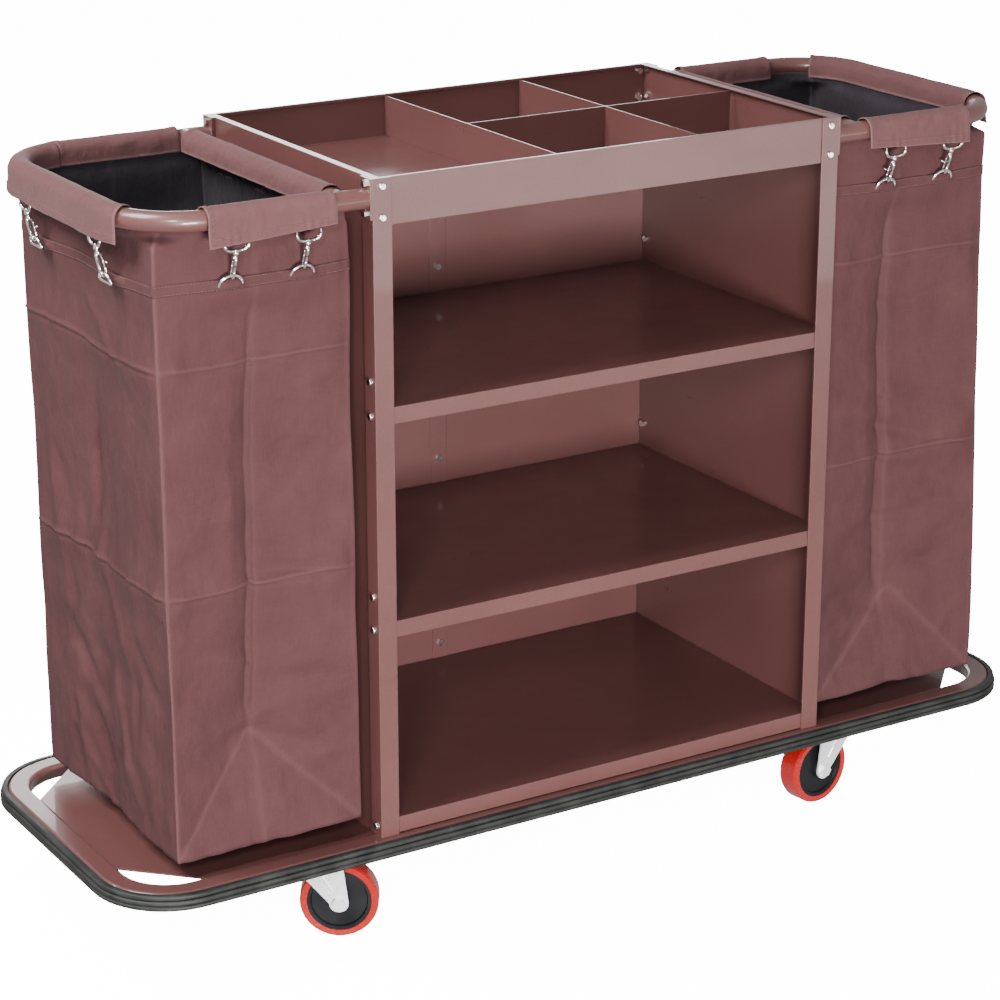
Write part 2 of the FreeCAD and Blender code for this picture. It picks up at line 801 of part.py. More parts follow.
def fork():
    """Pressed fork: round head with the kingpin hole, two raked cheeks with a pressed rib."""
    half = fork_gap / 2
    cheek_top = fork_top_z - fork_bridge
    head = Part.makeCylinder(fork_top_half, fork_bridge, V(0, 0, cheek_top))
    pieces = [head.makeFillet(fork_head_fillet, level_edges(head, fork_top_z))]
    for face in (-1, 1):
        cheek = fork_cheek_outline().extrude(V(0, fork_sheet, 0))
        cheek.translate(V(0, half if face > 0 else -half - fork_sheet, 0))
        outside = face * (half + fork_sheet)
        rib_top = V(-fork_rib_inset, outside, cheek_top - 2 * fork_rib_radius)
        rib_foot = V(caster_trail - fork_rib_inset, outside, wheel_radius + fork_rib_rise)
        pieces += [cheek, cylinder(rib_top, rib_foot, fork_rib_radius)]
    bore_start = V(0, 0, cheek_top - fork_sheet)
    bore = Part.makeCylinder(kingpin_radius + axle_clearance, 2 * fork_bridge, bore_start)
    reach = half + 2 * fork_sheet
    eyes = cylinder(V(caster_trail, -reach, wheel_radius), V(caster_trail, reach, wheel_radius),
                    axle_radius + 2 * axle_clearance)
    return fuse(pieces).cut(bore).cut(eyes)


def wheel_axle():
    """Axle bolt with its hexagon head and nut outside the cheeks."""
    reach = fork_gap / 2 + fork_sheet
    start = V(caster_trail, -reach, wheel_radius)
    end = V(caster_trail, reach, wheel_radius)
    head = hexagon(start, V(0, -1, 0), axle_hex_radius, axle_hex_height)
    nut = hexagon(end, V(0, 1, 0), axle_hex_radius, axle_hex_height)
    return fuse([cylinder(start, end, axle_radius), head, nut])


def revolve_wheel(points):
    """Ring about the axle; each point is (radius, distance along the axle)."""
    outline = [V(caster_trail, across, wheel_radius + radius) for radius, across in points]
    face = Part.Face(Part.makePolygon(outline + [outline[0]]))
    return face.revolve(V(caster_trail, 0, wheel_radius), V(0, 1, 0), 360)


def wheel_core():
    """Moulded wheel centre: bored hub, dished web and rim."""
    bore = axle_radius + axle_clearance
    hub_half = fork_gap / 2 - hub_gap
    rim_outer = wheel_radius - tread_depth
    rim_inner = rim_outer - core_rim_depth
    rim_half = core_width / 2
    web_half = rim_half - core_web_inset
    side_points = [
        (bore, hub_half),
        (hub_radius - edge_bevel, hub_half),
        (hub_radius, hub_half - edge_bevel),
        (hub_radius + edge_bevel, web_half),
        (rim_inner, web_half),
        (rim_inner + edge_bevel, rim_half),
        (rim_outer, rim_half),
    ]
    other_side = [(radius, -across) for radius, across in reversed(side_points)]
    return revolve_wheel(side_points + other_side)


def wheel_tread():
    """Bonded tyre with rounded shoulders."""
    half = tread_width / 2
    side_points = [
        (wheel_radius - tread_depth, half - tread_bond_step),
        (wheel_radius - tread_shoulder, half),
        (wheel_radius, half - 2 * tread_shoulder),
    ]
    other_side = [(radius, -across) for radius, across in reversed(side_points)]
    return revolve_wheel(side_points + other_side)


# ---------------------------------------------------------------- assembly

def build():
    """Every sub-part, by the name of its node."""
    nodes = {
        "base_rim": base_rim(),
        "base_deck": base_deck(),
        "base_cross_members": base_cross_members(),
        "bumper": bumper(),
        "back_panel_left": back_panel_left(),
        "back_panel_right": back_panel_right(),
        "top_tray": top_tray(),
        "tray_divider_left": tray_divider_left(),
        "tray_divider_right": tray_divider_right(),
        "tray_divider_long": tray_divider_long(),
        "tray_screws": screws(tray_screw_axes()),
        "shelf_screws": screws(shelf_screw_axes()),
        "panel_screws": screws(panel_screw_axes() + seam_screw_axes()),
        "bag_frame_bolts": bolts(frame_bolt_axes()),
        "caster_studs": caster_studs(),
    }
    for name, top in shelf_tops.items():
        nodes[name] = shelf(top)
    for name, (side, face) in corners.items():
        nodes["post_" + name] = post(side, face)
        nodes["caster_plate_" + name] = caster_plate(side, face)
        nodes["caster_fork_" + name] = place_caster(fork(), name)
        nodes["wheel_axle_" + name] = place_caster(wheel_axle(), name)
        nodes["wheel_core_" + name] = place_caster(wheel_core(), name)
        nodes["wheel_tread_" + name] = place_caster(wheel_tread(), name)
    left_hand = {
        "bag_frame": bag_frame(),
        "cross_tube": cross_tube(),
        "laundry_bag": bag(),
        "snap_hooks": hook_group(0),
        "d_rings": hook_group(1),
    }
    for name, shape in left_hand.items():
        nodes[name + "_left"] = shape
        nodes[name + "_right"] = mirror_x(shape)
    nodes["side_panel_left"] = side_panel(-1)
    nodes["side_panel_right"] = side_panel(1)
    return nodes


def main():
    """Write each node to its own STEP file."""
    os.makedirs("parts", exist_ok=True)
    for name, shape in build().items():
        if not shape.isValid():
            raise ValueError(name + " is not a valid shape")
        shape.exportStep("parts/" + name + ".step")
        print(name, "solids", len(shape.Solids), "volume", round(shape.Volume))


main()
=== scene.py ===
"""Looks of the housekeeping cart: materials on its steel, wheels and fittings, and its cloth bags.

Metres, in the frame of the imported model: +Z up, +X along the cart, the open front faces -Y.
Cloth is worked out for the left-hand bag in "out" (distance from the cart's middle along X), y and z,
and a side of -1 or 1 puts it at the left or the right end.
"""
import json
import math

import bmesh
import bpy
import numpy as np
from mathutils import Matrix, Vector, noise
from numpy import concatenate as join


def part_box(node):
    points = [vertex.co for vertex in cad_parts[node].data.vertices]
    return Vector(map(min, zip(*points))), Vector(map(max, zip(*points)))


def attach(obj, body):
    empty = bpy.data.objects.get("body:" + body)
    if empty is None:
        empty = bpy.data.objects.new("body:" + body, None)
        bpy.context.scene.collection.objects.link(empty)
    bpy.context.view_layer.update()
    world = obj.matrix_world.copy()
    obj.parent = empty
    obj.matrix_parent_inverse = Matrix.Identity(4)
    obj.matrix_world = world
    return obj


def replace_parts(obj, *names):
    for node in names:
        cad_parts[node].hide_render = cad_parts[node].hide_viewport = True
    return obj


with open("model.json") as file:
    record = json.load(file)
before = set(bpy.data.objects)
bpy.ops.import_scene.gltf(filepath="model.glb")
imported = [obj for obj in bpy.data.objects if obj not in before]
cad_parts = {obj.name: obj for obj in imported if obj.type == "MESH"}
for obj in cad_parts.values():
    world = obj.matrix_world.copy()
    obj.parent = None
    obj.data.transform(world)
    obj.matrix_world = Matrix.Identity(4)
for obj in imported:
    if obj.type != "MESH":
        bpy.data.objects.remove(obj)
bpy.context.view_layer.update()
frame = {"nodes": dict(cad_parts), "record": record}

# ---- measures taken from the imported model

cross_low, cross_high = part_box("cross_tube_left")
frame_low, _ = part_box("bag_frame_left")
bag_low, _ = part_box("laundry_bag_left")
TUBE_R = (cross_high.z - cross_low.z) / 2
TUBE_Z = (cross_high.z + cross_low.z) / 2
CROSS_OUT = -(cross_low.x + cross_high.x) / 2
END_OUT = -frame_low.x - TUBE_R
LEG_Y = 0.210
BEND_R = 0.090
BEND_OUT = END_OUT - BEND_R
BEND_Y = LEG_Y - BEND_R

# the bag's box, inside the tube frame
BAG_OUT = 0.618
BAG_IN = 0.362
BAG_MIDDLE = (BAG_IN + BAG_OUT) / 2
BAG_Y = 0.193
INNER_LEAN = 0.004
BAG_BOTTOM = bag_low.z
FOOT_Z = BAG_BOTTOM + 0.004
BAG_TOP = 0.960
TURN_START_Z = 0.930
TURN_IN_Z = 0.9485
FLARE_Z = 0.850
PLEAT_LOW_Z = 0.305
PLEAT_TOP_Z = 0.872
CLOTH = 0.0012
UNDER_FLAP = 0.0129
THREAD_LIFT = 0.0005
WELD_REACH = 0.00005

# stitches, and how far out and how thick each is along its length, in thread widths
STITCH, STITCH_GAP, STITCH_WIDTH = 0.0030, 0.0014, 0.0007
STITCH_RINGS = ((-0.4, 0.25), (0.25, 1.0), (0.25, 1.0), (-0.4, 0.25))

# round bars: a direction that none of them follows, and the turns at which their end domes have rings
ACROSS_BAR = (0.31, 0.83, 0.46)
DOME_TURNS = (0.15, 0.8)

# the bag's walls, in the order of its columns
FRONT, INNER, REAR, END = range(4)

# folds left by packing, each round one wall: height, size outwards, wall
UPPER_FOLD = 0.785
LOWER_FOLD = 0.502
PACKING_FOLDS = ((UPPER_FOLD, 0.0052, FRONT), (LOWER_FOLD, 0.0060, FRONT),
                 (UPPER_FOLD, 0.0060, END), (LOWER_FOLD, 0.0056, END),
                 (0.655, -0.0034, FRONT), (0.360, -0.0034, END),
                 (UPPER_FOLD, 0.0048, REAR), (LOWER_FOLD, 0.0056, REAR))
SHARP_FOLDS = (UPPER_FOLD, LOWER_FOLD)

# short creases left by packing: wall, how many, where along the wall, how far spread
CREASES = ((FRONT, 16, BAG_MIDDLE, 0.080), (INNER, 8, 0.0, 0.10),
           (REAR, 16, BAG_MIDDLE, 0.080), (END, 34, 0.012, 0.065))

# seam band that holds the D-rings, and the snap hooks that hang from the flaps
BAND_LOW = 0.8785
BAND_HIGH = 0.8925
HOOK_OUT = {"left": (0.431, 0.525), "right": (0.440, 0.536)}
HOOK_END_Y = (-0.110, 0.094)
HOOK_TOP = 0.9395
HOOK_LENGTH = 0.0590
RING_PULL = 0.0085
RING_ARCH = 15.6
RING_TOP = 45.6
END_HOOK_LENGTH = 0.0575
FLAP_R = TUBE_R + 0.0030
RING_OFF = 0.0025
END_HOOK_SLANT = 13.5

# flaps over the tubes
SIDE_HEM = 0.006
FLAP_WRAP = TUBE_R + 0.0026
FLAP_NEAR = 0.3945
FLAP_FRONT_FAR = 0.5615
FRONT_TURN = 21.0
CROSS_FLAP_HALF = 0.186
BEND_STEP = 2.5
FLAP_STEP = 0.0028
CLOCKWISE_FLAPS = (0, 3)

# each kind of flap: heights of its inner and outer hem, and how far the outer hem rises along it
SIDE_FLAP = (0.9530, 0.9365, 0.0095)
END_FLAP = (0.9525, 0.9395, 0.0)
CROSS_FLAP = (0.9550, 0.9300, 0.0)

# studio: floor and round backdrop, and each light's name, place, target, size and power in watts
STUDIO_REACH = 30.0
FLOOR_CELLS = 12
WALL_SIDES = 48
WALL_HEIGHTS = (-0.5, 60.0)
WORLD_LIGHT = 0.5
LIGHTS = (
    ("key", (-1.3, -3.8, 0.42), (0.0, 0.0, 0.45), (1.2, 0.6), 330.0),
    ("low_right", (1.5, -2.7, 0.25), (0.2, 0.0, 0.55), (1.6, 0.4), 11.0),
    ("upper_left", (-2.2, 0.1, 3.1), (0.0, 0.0, 0.7), (1.5, 1.5), 200.0),
    ("high_front", (-2.7, -3.3, 2.5), (0.0, 0.0, 0.5), (0.8, 0.8), 120.0),
    ("back", (1.6, 4.2, 1.6), (0.0, 0.0, 0.5), (2.6, 1.4), 85.0),
)

# ---- camera

CAMERA_PLACE = (-1.99299, -3.19570, 1.76378)
CAMERA_AIM = (0.49439, 0.80586, -0.32582)
CAMERA_LENS = 106.07

camera = bpy.data.objects.new("camera", bpy.data.cameras.new("camera"))
bpy.context.scene.collection.objects.link(camera)
camera.location = CAMERA_PLACE
camera.rotation_mode = "QUATERNION"
camera.rotation_quaternion = Vector(CAMERA_AIM).to_track_quat("-Z", "Y")
camera.data.lens = CAMERA_LENS
camera.data.sensor_width = 36.0
camera.data.clip_start = 0.05
camera.data.clip_end = 200.0
bpy.context.scene.camera = camera


# ---- node helpers

def start_material(name):
    """New material; returns it with its tree and its principled shader."""
    made = bpy.data.materials.new(name)
    made.use_nodes = True
    tree = made.node_tree
    tree.nodes.clear()
    output = tree.nodes.new("ShaderNodeOutputMaterial")
    shader = tree.nodes.new("ShaderNodeBsdfPrincipled")
    tree.links.new(shader.outputs[0], output.inputs[0])
    return made, tree, shader


def add(tree, kind, inputs=None, **settings):
    """Adds a node, sets its options, and links or sets its inputs."""
    made = tree.nodes.new("ShaderNode" + kind)
    for key, value in settings.items():
        setattr(made, key, value)
    for key, value in (inputs or {}).items():
        plug(tree, value, made.inputs[key])
    return made


def plug(tree, value, socket):
    """Links an output to a socket, or sets the socket's own value."""
    if isinstance(value, bpy.types.NodeSocket):
        tree.links.new(value, socket)
    else:
        socket.default_value = value


def maths(tree, operation, a, b=0.0, c=0.0):
    """One arithmetic step."""
    return add(tree, "Math", {0: a, 1: b, 2: c}, operation=operation).outputs[0]


def spots(tree, vector, scale, detail=3.0, rough=0.5):
    """Smooth noise from 0 to 1 with this many features per metre, or so many along each axis."""
    if isinstance(scale, tuple):
        vector, scale = stretched(tree, vector, scale), 1.0
    made = add(tree, "TexNoise", {"Vector": vector, "Scale": scale, "Detail": detail, "Roughness": rough})
    return made.outputs[0]


def remap(tree, value, from_low, from_high, to_low, to_high):
    """Clamped linear change of range."""
    made = add(tree, "MapRange", {0: value, 1: from_low, 2: from_high, 3: to_low, 4: to_high})
    return made.outputs[0]


def mix(tree, factor, first, second):
    """Mixes two colours."""
    made = add(tree, "Mix", data_type="RGBA")
    plug(tree, factor, made.inputs[0])
    for index, colour in ((6, first), (7, second)):
        if isinstance(colour, tuple):
            colour = (*colour, 1.0)
        plug(tree, colour, made.inputs[index])
    return made.outputs[2]


def stretched(tree, vector, scales):
    """Coordinates multiplied by a different number along each axis."""
    return add(tree, "Mapping", {"Vector": vector, "Scale": scales}).outputs[0]


def bump(tree, height, distance, normal=None, strength=1.0):
    """Surface relief, with distance the real depth of the height's full range."""
    inputs = {"Height": height, "Distance": distance, "Strength": strength}
    if normal is not None:
        inputs["Normal"] = normal
    return add(tree, "Bump", inputs).outputs[0]


def places(tree):
    """Position on the object, in metres."""
    return add(tree, "TexCoord").outputs["Object"]


def ramp(tree, value, from_low, from_high):
    """0 below from_low, 1 above from_high."""
    return remap(tree, value, from_low, from_high, 0.0, 1.0)


def surface(made, shader, base, rough, normal, **plain):
    """Links the colour, roughness and relief, and sets the shader's plain values. Returns the material."""
    plain = {key.replace("_", " "): value for key, value in plain.items()}
    for key, value in {"Base Color": base, "Roughness": rough, "Normal": normal, **plain}.items():
        if value is not None:
            plug(made.node_tree, value, shader.inputs[key])
    return made


# ---- materials

def paint_material(name, colour, dark):
    """Semi-gloss powder coat with orange peel, slow drift of colour, faint smears and painted highlights
    along the edges.
    """
    made, tree, shader = start_material(name)
    place = places(tree)
    drift = spots(tree, place, 5.0, 4.0)
    grain = spots(tree, place, 420.0, 2.0)
    smear = spots(tree, stretched(tree, place, (3.0, 3.0, 11.0)), 3.0, 6.0, 0.62)
    base = mix(tree, ramp(tree, drift, 0.3, 0.7), dark, colour)
    fleck = tuple(min(1.0, 1.35 * c) for c in colour)
    base = mix(tree, remap(tree, grain, 0.5, 0.75, 0.0, 0.35), base, fleck)
    edge = add(tree, "Bevel", {"Radius": 0.0015}, samples=4).outputs[0]
    flat = add(tree, "NewGeometry").outputs["Normal"]
    turn = add(tree, "VectorMath", {0: edge, 1: flat}, operation="DOT_PRODUCT").outputs["Value"]
    # Painted highlight: edges, found from the rounded normal, are lightened towards a paler paint colour in
    # random patches.
    edge_highlight_mask = remap(tree, turn, 0.93, 0.75, 0.0, 0.5)
    highlight_patchiness = remap(tree, spots(tree, place, 60.0, 4.0, 0.6), 0.42, 0.62, 0.35, 1.0)
    painted_edge_highlight = tuple(min(1.0, 2.1 * c + 0.01) for c in colour)
    base = mix(tree, maths(tree, "MULTIPLY", edge_highlight_mask, highlight_patchiness), base, painted_edge_highlight)
    rough = maths(tree, "ADD", remap(tree, smear, 0.3, 0.7, 0.26, 0.37),
                  remap(tree, grain, 0.3, 0.7, 0.0, 0.05))
    relief = bump(tree, spots(tree, place, 260.0, 2.0), 0.00012, edge, 0.45)
    relief = bump(tree, spots(tree, place, 9.0, 2.0), 0.0009, relief, 0.6)
    return surface(made, shader, base, rough, relief, IOR=1.5, Specular_IOR_Level=0.45,
                   Coat_Weight=0.32, Coat_Roughness=0.05)


def weave(tree, pitch):
    """Plain weave from the cloth's own coordinates: thread height, and the coordinates."""
    cloth = add(tree, "UVMap", uv_map="cloth").outputs[0]
    parts = add(tree, "SeparateXYZ", {0: cloth})
    wander = spots(tree, cloth, 55.0, 2.0)
    shift = maths(tree, "MULTIPLY", wander, 0.0016)
    waves = []
    for index in (0, 1):
        along = maths(tree, "ADD", parts.outputs[index], shift)
        waves.append(maths(tree, "SINE", maths(tree, "MULTIPLY", along, math.pi / pitch)))
    product = maths(tree, "MULTIPLY", waves[0], waves[1])
    return maths(tree, "MULTIPLY_ADD", product, 0.5, 0.5), cloth


def cloth_material(name, colour, dark, light, rough, pitch, sheen, crinkle):
    """Woven cloth: threads with painted shade in the weave's low points, slubs, slow drift of tone, fine
    crinkles and painted highlights along creases and edges.
    """
    made, tree, shader = start_material(name)
    threads, cloth = weave(tree, pitch)
    drift = spots(tree, cloth, 11.0, 5.0, 0.6)
    slub_warp = spots(tree, cloth, (1100.0, 40.0, 1.0), 2.0)
    slub_weft = spots(tree, cloth, (40.0, 1100.0, 1.0), 2.0)
    base = mix(tree, ramp(tree, drift, 0.3, 0.7), dark, colour)
    slubs = maths(tree, "ADD", slub_warp, slub_weft)
    base = mix(tree, remap(tree, slubs, 0.85, 1.3, 0.0, 0.14), base, light)
    # Painted shade: the low points of the weave are darkened.
    base = mix(tree, remap(tree, threads, 0.0, 0.45, 0.25, 0.0), base, tuple(0.45 * c for c in dark))
    # Painted highlight: each point's highlight weight lifts the colour towards the light colour along
    # creases, hems and edges.
    painted_highlight = add(tree, "Attribute", attribute_name="painted_highlight").outputs["Fac"]
    base = mix(tree, maths(tree, "MULTIPLY", painted_highlight, 0.55), base, light)
    relief = bump(tree, threads, 0.00022, None, 0.55)
    relief = bump(tree, slubs, 0.00018, relief, 0.4)
    fine = spots(tree, cloth, 85.0, 5.0, 0.6)
    relief = bump(tree, fine, 0.0016 * crinkle, relief, 0.5)
    broad = spots(tree, cloth, (26.0, 17.0, 1.0), 4.0, 0.55)
    relief = bump(tree, broad, 0.006 * crinkle, relief, 0.55)
    rough = remap(tree, drift, 0.3, 0.7, rough - 0.05, rough + 0.05)
    return surface(made, shader, base, rough, relief, Specular_IOR_Level=0.05,
                   Sheen_Weight=sheen, Sheen_Roughness=0.45)


def rubber_material():
    """Dark extruded rubber: drawn streaks, dust in the grooves and scuffs."""
    made, tree, shader = start_material("bumper_rubber")
    place = places(tree)
    dust = spots(tree, place, 24.0, 6.0, 0.65)
    streak = spots(tree, place, (14.0, 14.0, 900.0), 3.0)
    base = mix(tree, ramp(tree, dust, 0.42, 0.72), (0.012, 0.013, 0.012), (0.030, 0.031, 0.028))
    base = mix(tree, remap(tree, streak, 0.45, 0.8, 0.0, 0.5), base, (0.042, 0.043, 0.039))
    relief = bump(tree, streak, 0.00025, None, 0.6)
    relief = bump(tree, spots(tree, place, 500.0, 2.0), 0.0001, relief, 0.5)
    rough = remap(tree, dust, 0.3, 0.7, 0.42, 0.68)
    return surface(made, shader, base, rough, relief, Specular_IOR_Level=0.28)


def tread_material():
    """Glossy red polyurethane with a little depth, fine scuffs and dulled running marks."""
    made, tree, shader = start_material("red_polyurethane")
    place = places(tree)
    cloud = spots(tree, place, 45.0, 3.0)
    scuff = spots(tree, place, 320.0, 5.0, 0.7)
    base = mix(tree, cloud, (0.30, 0.005, 0.004), (0.42, 0.010, 0.007))
    base = mix(tree, remap(tree, scuff, 0.6, 0.78, 0.0, 0.4), base, (0.30, 0.05, 0.04))
    rough = remap(tree, scuff, 0.4, 0.75, 0.16, 0.42)
    relief = bump(tree, scuff, 0.00012, None, 0.4)
    return surface(made, shader, base, rough, relief, Coat_Weight=0.5, Coat_Roughness=0.08)


def core_material():
    """Moulded black plastic with a fine spark texture."""
    made, tree, shader = start_material("black_plastic")
    place = places(tree)
    spark = spots(tree, place, 900.0, 2.0)
    haze = spots(tree, place, 30.0, 4.0)
    base = mix(tree, haze, (0.005, 0.005, 0.006), (0.012, 0.012, 0.014))
    rough = remap(tree, haze, 0.3, 0.7, 0.34, 0.5)
    relief = bump(tree, spark, 0.00012, None, 0.5)
    return surface(made, shader, base, rough, relief, Specular_IOR_Level=0.22)


def zinc_material():
    """Bright zinc plate: crystal spangle, brushing and dulled patches."""
    made, tree, shader = start_material("zinc_plate")
    place = places(tree)
    cells = add(tree, "TexVoronoi", {"Vector": place, "Scale": 170.0}).outputs["Color"]
    tone = add(tree, "SeparateColor", {0: cells}).outputs[0]
    patch = spots(tree, place, 40.0, 5.0, 0.6)
    base = mix(tree, tone, (0.90, 0.91, 0.93), (0.98, 0.98, 0.99))
    base = mix(tree, remap(tree, patch, 0.5, 0.8, 0.0, 0.6), base, (0.72, 0.72, 0.70))
    rough = maths(tree, "ADD", remap(tree, patch, 0.3, 0.7, 0.22, 0.36), maths(tree, "MULTIPLY", tone, 0.08))
    brushed = spots(tree, place, (90.0, 90.0, 1400.0), 2.0)
    return surface(made, shader, base, rough, bump(tree, brushed, 0.00006, None, 0.5), Metallic=0.45)


def nickel_material():
    """Bright nickel plate with polishing lines and a few dull spots."""
    made, tree, shader = start_material("nickel_plate")
    place = places(tree)
    spot = spots(tree, place, 260.0, 4.0, 0.6)
    base = mix(tree, remap(tree, spot, 0.5, 0.8, 0.0, 0.7), (0.86, 0.82, 0.79), (0.52, 0.47, 0.44))
    rough = remap(tree, spot, 0.4, 0.8, 0.12, 0.34)
    return surface(made, shader, base, rough, bump(tree, spot, 0.00008, None, 0.4), Metallic=1.0)


def floor_material():
    """Plain pale studio floor."""
    made, tree, shader = start_material("pale_floor")
    place = places(tree)
    cloud = spots(tree, place, 1.5, 3.0)
    base = mix(tree, cloud, (0.86, 0.86, 0.86), (0.89, 0.89, 0.89))
    return surface(made, shader, base, remap(tree, cloud, 0.3, 0.7, 0.75, 0.85), None, Specular_IOR_Level=0.2,
                   Emission_Color=(1.0, 1.0, 1.0, 1.0), Emission_Strength=14.0)


PAINT = paint_material("powder_coat", colour=(0.108, 0.043, 0.040), dark=(0.092, 0.036, 0.033))
FABRIC = cloth_material(
    "bag_cloth", colour=(0.080, 0.0335, 0.035), dark=(0.062, 0.0255, 0.027), light=(0.125, 0.060, 0.062),
    rough=0.72, pitch=0.0009, sheen=0.015, crinkle=1.0)
# Painted light: the flaps use a lighter copy of the body cloth, as lit from above, with stronger painted
# highlights on their creases and hems.
FLAP_CLOTH_PAINTED_LIT = cloth_material(
    "flap_cloth_painted_lit", colour=(0.115, 0.052, 0.053), dark=(0.098, 0.043, 0.044), light=(0.21, 0.115, 0.117),
    rough=0.66, pitch=0.0009, sheen=0.06, crinkle=0.8)
LINING = cloth_material(
    "bag_lining", colour=(0.030, 0.025, 0.030), dark=(0.020, 0.017, 0.020), light=(0.070, 0.060, 0.068),
    rough=0.48, pitch=0.0009, sheen=0.03, crinkle=1.2)
THREAD = cloth_material(
    "thread", colour=(0.16, 0.085, 0.088), dark=(0.11, 0.055, 0.058), light=(0.24, 0.15, 0.15),
    rough=0.6, pitch=0.0003, sheen=0.2, crinkle=0.3)
NICKEL = nickel_material()

SLOT_MATERIALS = {
    "paint": PAINT,
    "fabric": FABRIC,
    "bumper": rubber_material(),
    "tread": tread_material(),
    "wheel_core": core_material(),
    "zinc": zinc_material(),
    "nickel": NICKEL,
}


def finish_cad_nodes():
    """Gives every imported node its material. The studs' heads are painted with the deck."""
    for part in frame["record"]["subparts"]:
        made = PAINT if part["node"] == "caster_studs" else SLOT_MATERIALS[part["material_slot"]]
        for slot in frame["nodes"][part["node"]].material_slots:
            slot.material = made


# ---- mesh helpers

def ease(value, low, high):
    """0 below low, 1 above high, smooth between."""
    t = np.clip((value - low) / (high - low), 0.0, 1.0)
    return t * t * (3 - 2 * t)


def peak(distance, width):
    """1 at a distance of 0, falling straight to 0 at width."""
    return np.clip(1.0 - np.abs(distance) / width, 0.0, None)


def bell(distance, width, power=2):
    """1 at a distance of 0, falling smoothly to either side."""
    return np.exp(-(distance / width) ** power)


def run_lengths(path):
    """Distance along a path at each of its points."""
    return join([[0.0], np.cumsum(np.linalg.norm(np.diff(path, axis=0), axis=1))])


def smooth_min(a, b, radius):
    """The smaller of two surfaces, blended where they cross."""
    h = np.clip(0.5 + 0.5 * (b - a) / radius, 0.0, 1.0)
    return b * (1 - h) + a * h - radius * h * (1 - h)


def field(x, y, z, scale, seed, octaves=2, ridged=False):
    """Smooth noise from -1 to 1 at each point; ridged gives sharp crests instead."""
    offset = Vector((17.3 * seed, -9.1 * seed, 5.7 * seed))
    flat = [np.broadcast_to(v, np.broadcast(x, y, z).shape).ravel() for v in (x, y, z)]
    values = np.empty(len(flat[0]))
    for i, (px, py, pz) in enumerate(zip(*flat)):
        point = Vector((px * scale, py * scale, pz * scale)) + offset
        total, size = 0.0, 1.0
        for _ in range(octaves):
            level = noise.noise(point)
            if ridged:
                level = 1.0 - 2.0 * abs(level)
            total += level * size
            size *= 0.5
            point = point * 2.03
        values[i] = total
    return values.reshape(np.broadcast(x, y, z).shape)


def grid_piece(points, across, along, closed=False):
    """Faces and cloth coordinates of a grid: points[row, column], across per column, along per row."""
    rows, columns = points.shape[:2]
    last = columns if closed else columns - 1
    row, column = np.meshgrid(np.arange(rows - 1), np.arange(last), indexing="ij")
    row, column = row.ravel(), column.ravel()
    beside = (column + 1) % columns
    faces = np.stack([row * columns + column, row * columns + beside,
                      (row + 1) * columns + beside, (row + 1) * columns + column], axis=1)
    corner_across = np.stack([across[column], across[column + 1], across[column + 1], across[column]], axis=1)
    corner_along = np.stack([along[row], along[row], along[row + 1], along[row + 1]], axis=1)
    return faces, np.stack([corner_across, corner_along], axis=2).reshape(-1, 2)


class Parts:
    """Collects grids and tubes that become one piece."""

    def __init__(self):
        self.points, self.faces, self.cloth, self.painted_highlight = [], [], [], []
        self.count = 0

    def take(self, points, faces, cloth, painted_highlight=None):
        """Adds one patch, with each point's painted highlight along creases and edges, from 0 to 1."""
        points = np.asarray(points, float).reshape(-1, 3)
        self.points.append(points)
        self.faces += [tuple(int(i) + self.count for i in face) for face in faces]
        self.cloth.append(np.asarray(cloth, float).reshape(-1, 2))
        self.painted_highlight.append(np.zeros(len(points)) if painted_highlight is None else np.asarray(painted_highlight, float).ravel())
        self.count += len(points)

    def piece(self, name, material, slot, side):
        """Makes the object, mirrored to its end of the cart, and rides it on the cart."""
        points = join(self.points)
        points[:, 0] *= side
        faces, cloth = self.faces, join(self.cloth)
        if side > 0:
            faces, cloth = reversed_faces(faces, cloth)
        mesh = bpy.data.meshes.new(name)
        mesh.from_pydata(points.tolist(), [], faces)
        layer = mesh.uv_layers.new(name="cloth")
        layer.data.foreach_set("uv", cloth.astype(np.float32).ravel())
        # Per-point weight of the painted highlight along creases and edges, read by the cloth materials.
        attribute = mesh.attributes.new("painted_highlight", "FLOAT", "POINT")
        attribute.data.foreach_set("value", join(self.painted_highlight).astype(np.float32))
        mesh.polygons.foreach_set("use_smooth", [True] * len(mesh.polygons))
        mesh.materials.append(material)
        made = bpy.data.objects.new(name, mesh)
        bpy.context.scene.collection.objects.link(made)
        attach(made, "root")
        return made


def reversed_faces(faces, cloth):
    """The same faces wound the other way, with their corners' cloth coordinates."""
    turned, order, start = [], [], 0
    for face in faces:
        turned.append(tuple(reversed(face)))
        order += list(range(start + len(face) - 1, start - 1, -1))
        start += len(face)
    return turned, cloth[order]


def thicken(piece, depth, inner_material=None, offset=-1.0):
    """Gives a sheet its thickness, with another material on its inner side if one is given."""
    solid = piece.modifiers.new("thickness", "SOLIDIFY")
    solid.thickness = depth
    solid.offset = offset
    if inner_material is not None:
        piece.data.materials.append(inner_material)
        solid.material_offset = 1
    return piece


